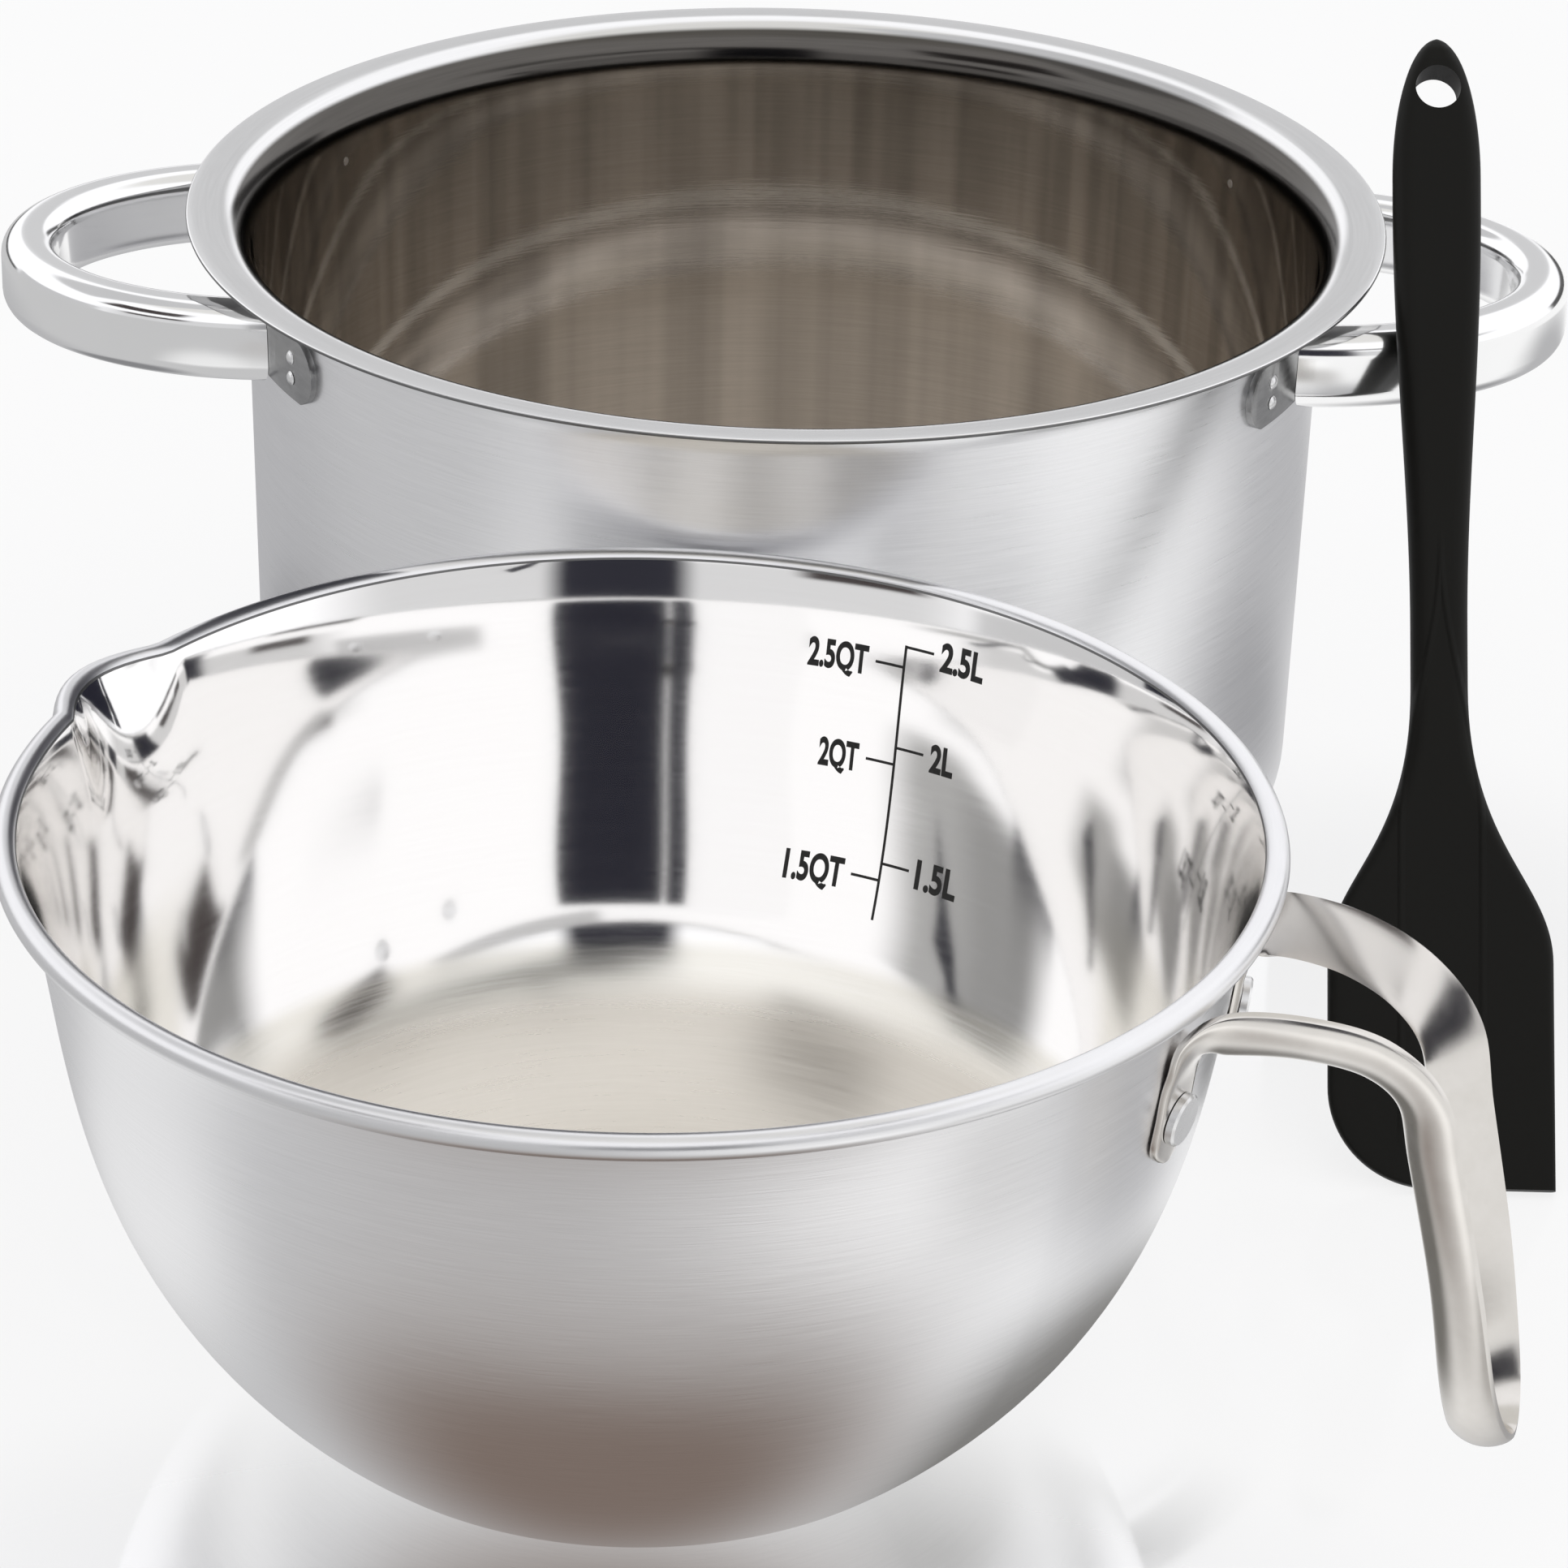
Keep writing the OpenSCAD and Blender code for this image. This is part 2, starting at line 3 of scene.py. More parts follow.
import bmesh
import bpy
from mathutils import Matrix, Vector


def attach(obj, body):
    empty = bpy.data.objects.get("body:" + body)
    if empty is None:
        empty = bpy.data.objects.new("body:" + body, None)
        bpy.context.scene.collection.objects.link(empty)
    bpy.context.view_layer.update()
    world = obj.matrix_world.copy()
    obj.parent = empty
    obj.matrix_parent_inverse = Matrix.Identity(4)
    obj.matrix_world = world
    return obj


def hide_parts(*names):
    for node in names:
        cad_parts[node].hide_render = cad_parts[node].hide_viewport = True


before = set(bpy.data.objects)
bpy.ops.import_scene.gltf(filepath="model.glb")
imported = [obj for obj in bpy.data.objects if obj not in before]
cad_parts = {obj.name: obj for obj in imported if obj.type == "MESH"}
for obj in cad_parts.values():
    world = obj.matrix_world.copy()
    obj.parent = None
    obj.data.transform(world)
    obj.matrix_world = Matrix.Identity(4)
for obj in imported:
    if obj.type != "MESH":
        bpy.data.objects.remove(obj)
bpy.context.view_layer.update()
print("frame loaded")

mm = 0.001
# sizes are in mm unless a note says otherwise, with the pot's axis at the origin; the bowl's axis is here
bowlPlace = Vector((-21.4, -219.794, 0))


def arcPoints(centre, radius, start, end, count):
    # points on an arc in a (radius, height) profile, in mm and degrees
    turns = [math.radians(start + (end - start) * i / count) for i in range(count + 1)]
    return [(centre[0] + radius * math.cos(t), centre[1] + radius * math.sin(t)) for t in turns]


def bezierPoint(p, t):
    # a place on the curve that the four points of p give, for t from 0 to 1
    weights = ((1 - t) ** 3, 3 * t * (1 - t) ** 2, 3 * t * t * (1 - t), t ** 3)
    return tuple(sum(w * q[k] for w, q in zip(weights, p)) for k in range(len(p[0])))


def bezierNormal(p, t):
    # unit vector to the left of the way the curve runs
    weights = ((1 - t) ** 2, 2 * t * (1 - t), t * t)
    d = [sum(w * (p[i + 1][k] - p[i][k]) for i, w in enumerate(weights)) for k in range(2)]
    length = math.hypot(*d)
    return (-d[1] / length, d[0] / length)


def lookup(x, table):
    # y at x, straight between the rows of the table
    for (x0, y0), (x1, y1) in zip(table, table[1:]):
        if x <= x1:
            return y0 + (y1 - y0) * min(max((x - x0) / (x1 - x0), 0), 1)
    return table[-1][1]


def spinProfile(bm, profile, steps, centre=(0, 0)):
    # profile of (radius, height) in mm, spun all the way round the upright axis at centre
    corners = [bm.verts.new(((centre[0] + r) * mm, centre[1] * mm, z * mm)) for r, z in profile]
    edges = [bm.edges.new(pair) for pair in zip(corners, corners[1:])]
    bmesh.ops.spin(bm, geom=corners + edges, cent=(centre[0] * mm, centre[1] * mm, 0),
                   axis=(0, 0, 1), dvec=(0, 0, 0), angle=2 * math.pi, steps=steps,
                   use_merge=True, use_duplicate=False)
    bmesh.ops.remove_doubles(bm, verts=bm.verts, dist=1e-7)
    bmesh.ops.recalc_face_normals(bm, faces=bm.faces)


def sweepRings(bm, rings):
    # one section after another, each a ring of points in mm; both ends stay closed
    place = bm.verts.layers.int.new("place")
    first = [bm.verts.new(Vector(p) * mm) for p in rings[0]]
    for k, vert in enumerate(first):
        vert[place] = k
    face = bm.faces.new(first)
    for k, ring in enumerate(rings[1:]):
        made = bmesh.ops.extrude_face_region(bm, geom=[face])["geom"]
        if k > 0:
            bmesh.ops.delete(bm, geom=[face], context="FACES_ONLY")
        face = [item for item in made if isinstance(item, bmesh.types.BMFace)][0]
        for vert in face.verts:
            vert.co = Vector(ring[vert[place]]) * mm
    bmesh.ops.recalc_face_normals(bm, faces=bm.faces)


def finishPiece(name, bm, materials, body, replaced=(), sharp=35):
    mesh = bpy.data.meshes.new(name)
    bm.to_mesh(mesh)
    bm.free()
    mesh.shade_smooth()
    mesh.set_sharp_from_angle(angle=math.radians(sharp))
    piece = bpy.data.objects.new(name, mesh)
    bpy.context.scene.collection.objects.link(piece)
    for material in materials:
        mesh.materials.append(material)
    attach(piece, body)
    if replaced:
        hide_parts(*replaced)
    return piece


def dressNode(name, material):
    # a CAD node keeps its shape and gets a material
    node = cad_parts[name]
    node.data.materials.clear()
    node.data.materials.append(material)


def applyModifiers(piece):
    view = bpy.context.evaluated_depsgraph_get()
    mesh = bpy.data.meshes.new_from_object(piece.evaluated_get(view))
    piece.modifiers.clear()
    old = piece.data
    piece.data = mesh
    bpy.data.meshes.remove(old)


# materials

# in metres
grainDepth = 0.0002
# where most of a noise's values lie
noiseSpan = (0.3, 0.7)


def newMaterial(name):
    material = bpy.data.materials.new(name)
    material.use_nodes = True
    tree = material.node_tree
    return material, tree, tree.nodes["Principled BSDF"]


def addNode(tree, kind, inputs=(), **settings):
    node = tree.nodes.new(kind)
    for key, value in settings.items():
        setattr(node, key, value)
    for key, value in dict(inputs).items():
        if isinstance(value, bpy.types.NodeSocket):
            tree.links.new(value, node.inputs[key])
        else:
            node.inputs[key].default_value = value
    return node


def calc(tree, operation, a, b=0.0, c=0.0):
    return addNode(tree, "ShaderNodeMath", {0: a, 1: b, 2: c}, operation=operation).outputs[0]


def ramp(tree, value, stops):
    node = addNode(tree, "ShaderNodeValToRGB", {0: value})
    colours = node.color_ramp
    while len(colours.elements) < len(stops):
        colours.elements.new(0.5)
    for element, (place, colour) in zip(colours.elements, stops):
        element.position = place
        element.color = (*colour, 1)
    return node.outputs[0]


def shades(tree, value, look):
    return ramp(tree, value, [(noiseSpan[0], look["dark"]), (noiseSpan[1], look["light"])])


def spread(tree, value, low, high, fromLow=noiseSpan[0], fromHigh=noiseSpan[1]):
    return addNode(tree, "ShaderNodeMapRange", {"Value": value, "From Min": fromLow, "From Max": fromHigh,
                                                "To Min": low, "To Max": high}).outputs[0]


def softStep(tree, value, start, end):
    # 0 before start, 1 after end; start may be the greater of the two
    return addNode(tree, "ShaderNodeMapRange", {"Value": value, "From Min": start, "From Max": end},
                   interpolation_type="SMOOTHSTEP").outputs[0]


def band(tree, value, low, high, soft):
    # 1 between low and high, 0 outside them
    return calc(tree, "MULTIPLY", softStep(tree, value, low - soft, low + soft),
                softStep(tree, value, high + soft, high - soft))


def mixColour(tree, share, a, b):
    node = addNode(tree, "ShaderNodeMix", data_type="RGBA")
    for key, value in ((0, share), (6, a), (7, b)):
        if isinstance(value, bpy.types.NodeSocket):
            tree.links.new(value, node.inputs[key])
        else:
            node.inputs[key].default_value = value if key == 0 else (*value, 1)
    return node.outputs[2]


def mixValue(tree, share, a, b):
    return addNode(tree, "ShaderNodeMix", {0: share, 2: a, 3: b}).outputs[0]


def turnedPlace(tree, centre, along, across):
    # a place that changes slowly round the upright axis at centre and quickly across it
    here = addNode(tree, "ShaderNodeTexCoord").outputs["Object"]
    moved = addNode(tree, "ShaderNodeMapping", {"Vector": here, "Location": [-c * mm for c in centre]})
    apart = addNode(tree, "ShaderNodeSeparateXYZ", {0: moved.outputs[0]})
    flat = addNode(tree, "ShaderNodeCombineXYZ", {0: apart.outputs[0], 1: apart.outputs[1]}).outputs[0]
    radius = addNode(tree, "ShaderNodeVectorMath", {0: flat}, operation="LENGTH").outputs["Value"]
    turn = addNode(tree, "ShaderNodeVectorMath", {0: flat}, operation="NORMALIZE").outputs[0]
    slow = addNode(tree, "ShaderNodeVectorMath", {0: turn, "Scale": along}, operation="SCALE").outputs[0]
    parts = addNode(tree, "ShaderNodeSeparateXYZ", {0: slow})
    fast = calc(tree, "MULTIPLY", calc(tree, "ADD", radius, apart.outputs[2]), across)
    place = addNode(tree, "ShaderNodeCombineXYZ", {0: parts.outputs[0], 1: parts.outputs[1], 2: fast})
    return place.outputs[0]


def steel(name, look, centre=(0, 0, 0)):
    # brushed or polished steel; grain is (along, across) round the axis at centre, or x, y, z without one
    # a zone is a ring of the piece with its own look; its height is from, to and softness
    material, tree, shader = newMaterial(name)
    here = addNode(tree, "ShaderNodeTexCoord").outputs["Object"]
    if centre is None:
        grainPlace = addNode(tree, "ShaderNodeMapping", {"Vector": here, "Scale": look["grain"]}).outputs[0]
    else:
        grainPlace = turnedPlace(tree, centre, *look["grain"])
    grain = addNode(tree, "ShaderNodeTexNoise", {"Vector": grainPlace, "Scale": 1.0, "Detail": 4.0,
                                                 "Roughness": 0.62}).outputs[0]
    cloud = addNode(tree, "ShaderNodeTexNoise", {"Vector": here, "Scale": look["cloud"],
                                                 "Detail": 3.0}).outputs[0]
    both = calc(tree, "ADD", calc(tree, "MULTIPLY", grain, 0.7), calc(tree, "MULTIPLY", cloud, 0.3))
    tint = shades(tree, both, look)
    if "streaks" in look:
        # upright streaks that depend on the turn alone
        size, low, high = look["streaks"]
        flat = addNode(tree, "ShaderNodeVectorMath", {0: here, 1: (1, 1, 0)}, operation="MULTIPLY").outputs[0]
        around = addNode(tree, "ShaderNodeVectorMath", {0: flat}, operation="NORMALIZE").outputs[0]
        wave = addNode(tree, "ShaderNodeTexNoise", {"Vector": around, "Scale": size, "Detail": 3.0})
        wave = spread(tree, wave.outputs[0], low, high, 0.35, 0.65)
        tint = addNode(tree, "ShaderNodeVectorMath", {0: tint, "Scale": wave}, operation="SCALE").outputs[0]
    rough = spread(tree, both, *look["rough"])
    metal = 1.0
    if "zones" in look:
        height = addNode(tree, "ShaderNodeSeparateXYZ", {0: here}).outputs[2]
    for zone in look.get("zones", ()):
        share = band(tree, height, *[z * mm for z in zone["height"]])
        tint = mixColour(tree, share, tint, shades(tree, both, zone))
        rough = mixValue(tree, share, rough, spread(tree, both, *zone["rough"]))
        metal = mixValue(tree, share, metal, zone["metal"])
    for value, socket in ((tint, "Base Color"), (rough, "Roughness"), (metal, "Metallic")):
        if isinstance(value, bpy.types.NodeSocket):
            tree.links.new(value, shader.inputs[socket])
        else:
            shader.inputs[socket].default_value = value
    bump = addNode(tree, "ShaderNodeBump", {"Height": grain, "Strength": look["bump"],
                                            "Distance": grainDepth})
    tree.links.new(bump.outputs[0], shader.inputs["Normal"])
    return material


satin = {"light": (0.94, 0.94, 0.95), "dark": (0.84, 0.84, 0.85), "rough": (0.26, 0.36),
         "grain": (7, 2600), "bump": 0.10, "cloud": 14}
potOutside = steel("pot satin steel", satin)
bowlOutside = steel("bowl satin steel", satin, bowlPlace)
# the inside steel is darker and warmer than the outside, a painted shade
potInside = steel("pot inner steel", {
    "light": (0.67, 0.642, 0.61), "dark": (0.565, 0.54, 0.51), "rough": (0.035, 0.06),
    "grain": (5, 1800), "bump": 0.02, "cloud": 12, "streaks": (7.0, 0.76, 1.14),
    "zones": [
        # the floor, the corner, a bright line above it that is a painted highlight, the upper wall darker
        # with painted shade, the flare darker still with painted shade and the lip's edge
        {"height": (-5, 6.5, 1.0), "light": (0.72, 0.65, 0.57), "dark": (0.61, 0.54, 0.46),
         "rough": (0.34, 0.44), "metal": 0.25},
        {"height": (7.5, 19, 1.5), "light": (0.68, 0.62, 0.55), "dark": (0.58, 0.53, 0.47),
         "rough": (0.20, 0.28), "metal": 0.4},
        {"height": (20.5, 24, 0.7), "light": (0.98, 0.95, 0.89), "dark": (0.92, 0.88, 0.82),
         "rough": (0.4, 0.5), "metal": 0.05},
        {"height": (100, 150, 22), "light": (0.50, 0.49, 0.475), "dark": (0.42, 0.41, 0.40),
         "rough": (0.035, 0.06), "metal": 1},
        {"height": (127.5, 150, 1), "light": (0.115, 0.108, 0.10), "dark": (0.085, 0.08, 0.074),
         "rough": (0.12, 0.18), "metal": 1},
        {"height": (134.6, 150, 0.4), "light": (0.84, 0.84, 0.84), "dark": (0.78, 0.78, 0.78),
         "rough": (0.10, 0.16), "metal": 1}]})
bowlInside = steel("bowl mirror steel", {
    "light": (0.94, 0.933, 0.925), "dark": (0.925, 0.916, 0.906), "rough": (0.05, 0.08),
    "grain": (4, 900), "bump": 0.003, "cloud": 9,
    "zones": [
        # the lower wall and the bottom, rougher, and darker and warmer with painted shade
        {"height": (-5, 36.5, 2), "light": (0.85, 0.83, 0.78), "dark": (0.80, 0.78, 0.72),
         "rough": (0.12, 0.18), "metal": 1},
        {"height": (-5, 28.5, 4.5), "light": (0.80, 0.76, 0.69), "dark": (0.72, 0.68, 0.61),
         "rough": (0.26, 0.34), "metal": 0.65}]}, bowlPlace)
lipSteel = steel("lip steel", {
    "light": (0.86, 0.86, 0.86), "dark": (0.81, 0.81, 0.81), "rough": (0.14, 0.20),
    "grain": (8, 1500), "bump": 0.02, "cloud": 20})
beadSteel = steel("bead steel", {
    "light": (0.84, 0.84, 0.85), "dark": (0.78, 0.78, 0.79), "rough": (0.28, 0.36),
    "grain": (8, 1500), "bump": 0.02, "cloud": 20}, bowlPlace)
capSteel = steel("cap steel", {
    "light": (0.70, 0.70, 0.70), "dark": (0.6, 0.6, 0.6), "rough": (0.25, 0.35),
    "grain": (3, 1500), "bump": 0.05, "cloud": 20})
discMetal = steel("disc aluminium", {
    "light": (0.72, 0.73, 0.74), "dark": (0.62, 0.63, 0.64), "rough": (0.4, 0.5),
    "grain": (3, 900), "bump": 0.05, "cloud": 20})
chrome = steel("polished loop steel", {
    "light": (0.92, 0.92, 0.92), "dark": (0.89, 0.89, 0.89), "rough": (0.08, 0.13),
    "grain": (60, 60, 60), "bump": 0.002, "cloud": 30}, None)
# a dark steel that is painted shade: the pot's lip rim, the underside of its flare and the creases of the
# bowl's bead
paintedShadeSteel = steel("painted shade steel", {
    "light": (0.22, 0.22, 0.22), "dark": (0.15, 0.15, 0.15), "rough": (0.35, 0.45),
    "grain": (90, 90, 90), "bump": 0.02, "cloud": 30}, None)
bracketSteel = steel("bracket steel", {
    "light": (0.38, 0.38, 0.38), "dark": (0.28, 0.28, 0.28), "rough": (0.18, 0.26),
    "grain": (200, 200, 900), "bump": 0.02, "cloud": 40}, None)
rivetSteel = steel("rivet steel", {
    "light": (0.86, 0.86, 0.86), "dark": (0.78, 0.78, 0.78), "rough": (0.25, 0.35),
    "grain": (500, 500, 500), "bump": 0.02, "cloud": 60}, None)
strapSteel = steel("strap satin steel", {
    "light": (0.75, 0.725, 0.695), "dark": (0.67, 0.645, 0.61), "rough": (0.15, 0.22),
    "grain": (160, 160, 160), "bump": 0.004, "cloud": 18}, None)


def inkMaterial():
    material, tree, shader = newMaterial("etched black mark")
    here = addNode(tree, "ShaderNodeTexCoord").outputs["Object"]
    speck = addNode(tree, "ShaderNodeTexNoise", {"Vector": here, "Scale": 1400.0, "Detail": 2.0}).outputs[0]
    tint = ramp(tree, speck, [(0.3, (0.006, 0.006, 0.006)), (0.8, (0.02, 0.02, 0.02))])
    tree.links.new(tint, shader.inputs["Base Color"])
    tree.links.new(spread(tree, speck, 0.5, 0.65, 0.0, 1.0), shader.inputs["Roughness"])
    return material


ink = inkMaterial()
print("materials made")

# pot

# lipFrom: how far out from the wall the bright lip starts; shadeFrom: how far up the flare the painted shade
# on its underside starts
pot = {"wallFootR": 108.0, "wallTopR": 109.5, "height": 136.3, "floorZ": 4.6, "sheet": 0.8, "cornerR": 18.0,
       "flareR": 8.0, "lipWidth": 4.1, "lipFrom": 5.6, "shadeFrom": 3.5, "floorRings": (0, 20, 40, 60, 80),
       "wallSteps": 12, "cornerSteps": 14, "flareSteps": 16, "lipSteps": 8, "steps": 240}


def potShell(p):
    flatR = p["wallFootR"] - p["cornerR"]
    cornerZ = p["floorZ"] + p["cornerR"]
    flareZ = p["height"] - p["sheet"] - p["flareR"]
    lipR = p["wallTopR"] + p["flareR"] + p["lipWidth"]
    halfSheet = p["sheet"] / 2
    flareCentre = (p["wallTopR"] + p["flareR"], flareZ)

    def wall(inset):
        shares = [i / p["wallSteps"] for i in range(1, p["wallSteps"])]
        return [(p["wallFootR"] + (p["wallTopR"] - p["wallFootR"]) * t - inset,
                 cornerZ + (flareZ - cornerZ) * t) for t in shares]

    # up the outside from the middle of the floor, over the lip and down the inside
    section = [(radius, p["floorZ"]) for radius in p["floorRings"]]
    section += arcPoints((flatR, cornerZ), p["cornerR"], -90, 0, p["cornerSteps"]) + wall(0)
    section += arcPoints(flareCentre, p["flareR"], 180, 90, p["flareSteps"])
    section += arcPoints((lipR - halfSheet, p["height"] - halfSheet), halfSheet, -90, 90, p["lipSteps"])
    section += arcPoints(flareCentre, p["flareR"] + p["sheet"], 90, 180, p["flareSteps"])
    section += wall(p["sheet"])[::-1]
    section += arcPoints((flatR, cornerZ), p["cornerR"] - p["sheet"], 0, -90, p["cornerSteps"])
    section += [(radius, p["floorZ"] + p["sheet"]) for radius in p["floorRings"][::-1]]
    bm = bmesh.new()
    spinProfile(bm, section, p["steps"])
    for face in bm.faces:
        middle = face.calc_center_median() / mm
        radius = math.hypot(middle.x, middle.y)
        outwards = face.normal.x * middle.x + face.normal.y * middle.y > 0
        if radius < flatR + 1:
            outer = face.normal.z < 0
        elif middle.z < cornerZ:
            outer = math.hypot(radius - flatR, middle.z - cornerZ) > p["cornerR"] - halfSheet
        else:
            outer = outwards
        # the lip's rim and the flare's underside get painted shade
        lipShadeLine = radius > lipR - p["sheet"] and face.normal.z < 0.8
        shadeUnderFlare = outwards and middle.z > flareZ + p["shadeFrom"] and face.normal.z < 0
        face.material_index = 0 if outer else 1
        if lipShadeLine or shadeUnderFlare:
            face.material_index = 3
        elif middle.z > flareZ and radius > p["wallTopR"] + p["lipFrom"]:
            face.material_index = 2
    return finishPiece("pot_body", bm, [potOutside, potInside, lipSteel, paintedShadeSteel], "pot",
                       ["pot_shell"], sharp=50)


potShell(pot)
dressNode("pot_base_cap", capSteel)
dressNode("pot_base_core", discMetal)
print("pot made")

# loop handles

# bar is its width and height; the bend starts legOut from the wall and the legs end a gap from the plates
loop = {"width": 88.0, "out": 49.4915, "legOut": 2.5, "bar": (11.0, 16.0), "edgeR": 4.5, "midZ": 119.5,
        "plate": 1.4, "gap": 0.05, "steps": 72, "cornerSteps": 8}


def potWall(z, p=pot):
    # the wall's radius at a height
    cornerZ = p["floorZ"] + p["cornerR"]
    flareZ = p["height"] - p["sheet"] - p["flareR"]
    return p["wallFootR"] + (p["wallTopR"] - p["wallFootR"]) * (z - cornerZ) / (flareZ - cornerZ)


def roundedOutline(halfX, halfY, radius, count):
    x, y = halfX - radius, halfY - radius
    points = []
    for cx, cy, start in ((x, y, 0), (-x, y, 90), (-x, -y, 180), (x, -y, 270)):
        points += arcPoints((cx, cy), radius, start, start + 90, count)
    return points


def loopHandle(name, side, node, p=loop):
    legY = (p["width"] - p["bar"][0]) / 2
    midX = math.sqrt(pot["wallTopR"] ** 2 - legY ** 2) + p["legOut"]
    outline = roundedOutline(p["bar"][0] / 2, p["bar"][1] / 2, p["edgeR"], p["cornerSteps"])
    # each entry is a place on the bar's middle line and the way that points out of the bend
    way = [(midX, -legY, 0, -1)]
    for i in range(p["steps"] + 1):
        turn = math.radians(-90 + 180 * i / p["steps"])
        nx, ny = math.cos(turn) * legY, math.sin(turn) * p["out"]
        size = math.hypot(nx, ny)
        way.append((midX + p["out"] * math.cos(turn), legY * math.sin(turn), nx / size, ny / size))
    way.append((midX, legY, 0, 1))
    rings = [[(x + u * nx, y + u * ny, p["midZ"] + v) for u, v in outline] for x, y, nx, ny in way]
    # the end sections lie along the plates
    reach = p["plate"] + p["gap"]
    for end in (0, -1):
        rings[end] = [(math.sqrt((potWall(z) + reach) ** 2 - y * y), y, z) for x, y, z in rings[end]]
    rings = [[(side * x, y, z) for x, y, z in ring] for ring in rings]
    bm = bmesh.new()
    sweepRings(bm, rings)
    return finishPiece(name, bm, [chrome], "pot", [node], sharp=40)


loopHandle("left_loop", -1, "left_handle")
loopHandle("right_loop", 1, "right_handle")


# ease is the width of the rounding on edges sharper than edgeAngle
plates = {"ease": 0.25, "easeSteps": 3, "edgeAngle": 50, "flatAngle": 0.3}


def bracketPlate(name, node, p=plates):
    # a merged copy of the CAD node with its sharp edges eased
    bm = bmesh.new()
    bm.from_mesh(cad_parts[node].data)
    bmesh.ops.remove_doubles(bm, verts=bm.verts, dist=1e-6)
    bmesh.ops.dissolve_limit(bm, angle_limit=math.radians(p["flatAngle"]), verts=bm.verts, edges=bm.edges)
    least = math.radians(p["edgeAngle"])
    edges = [e for e in bm.edges if len(e.link_faces) == 2 and e.calc_face_angle() > least]
    bmesh.ops.bevel(bm, geom=edges, offset=p["ease"] * mm, offset_type="OFFSET", segments=p["easeSteps"],
                    profile=0.5, affect="EDGES", material=-1, clamp_overlap=True)
    return finishPiece(name, bm, [bracketSteel], "pot", [node], sharp=40)


for side in ("left", "right"):
    for end in ("front", "rear"):
        bracketPlate(f"{side}_{end}_plate", f"{side}_{end}_bracket")
    dressNode(f"{side}_handle_rivets", rivetSteel)
print("loop handles made")

# melting bowl

# the wall is one curve from the foot's slope to the rim's lean; curlEnd is where the rolled rim stops
bowl = {"rimR": 110.0, "height": 109.6, "sheet": 0.8, "beadD": 4.4, "baseD": 120.0, "cornerR": 8.0,
        "footSlope": 41.0, "rimLean": 20.0, "lowPull": 57.6, "highPull": 27.0, "curlEnd": -130,
        "spoutAz": 154.0, "spoutW": 32.0, "spoutH": 24.0, "spoutReach": 5.0,
        # creaseShadeTurn and creaseShadeUnder bound the bead's creases that get painted shade, in degrees
        # round the bead
        "creaseShadeTurn": 14, "creaseShadeUnder": -95, "floorRings": (0, 15, 30, 45),
        "wallSteps": 40, "cornerSteps": 8, "curlSteps": (14, 24), "steps": 288}


def bowlCurve(b):
    slope, lean = math.radians(b["footSlope"]), math.radians(b["rimLean"])
    flatR = b["baseD"] / 2 - b["cornerR"] * math.tan(slope / 2)
    bead = (b["rimR"] - b["beadD"] / 2, b["height"] - b["beadD"] / 2)
    foot = (flatR + b["cornerR"] * math.sin(slope), b["cornerR"] * (1 - math.cos(slope)))
    inner = b["beadD"] / 2 - b["sheet"]
    top = (bead[0] - inner * math.cos(lean), bead[1] + inner * math.sin(lean))
    low = (foot[0] + b["lowPull"] * math.cos(slope), foot[1] + b["lowPull"] * math.sin(slope))
    high = (top[0] - b["highPull"] * math.sin(lean), top[1] - b["highPull"] * math.cos(lean))
    return flatR, bead, (foot, low, high, top)


bowlFlatR, beadCentre, wallCurve = bowlCurve(bowl)
tableSteps = 200
wallTable = [bezierPoint(wallCurve, i / tableSteps)[::-1] for i in range(tableSteps + 1)]


def bowlWall(z):
    # the outer wall's radius at a height
    return lookup(z, wallTable)


def spoutPush(turn, z, b=bowl):
    # how far the spout pushes the wall out
    low = b["height"] - b["spoutH"]
    half = math.degrees(math.asin(b["spoutW"] / 2 / b["rimR"]))
    near = ((turn - b["spoutAz"] + 180) % 360 - 180) / half
    rise = (z - low) / b["spoutH"]
    if abs(near) >= 1 or rise <= 0:
        return 0
    return b["spoutReach"] * math.cos(math.pi / 2 * near) * rise ** 1.5


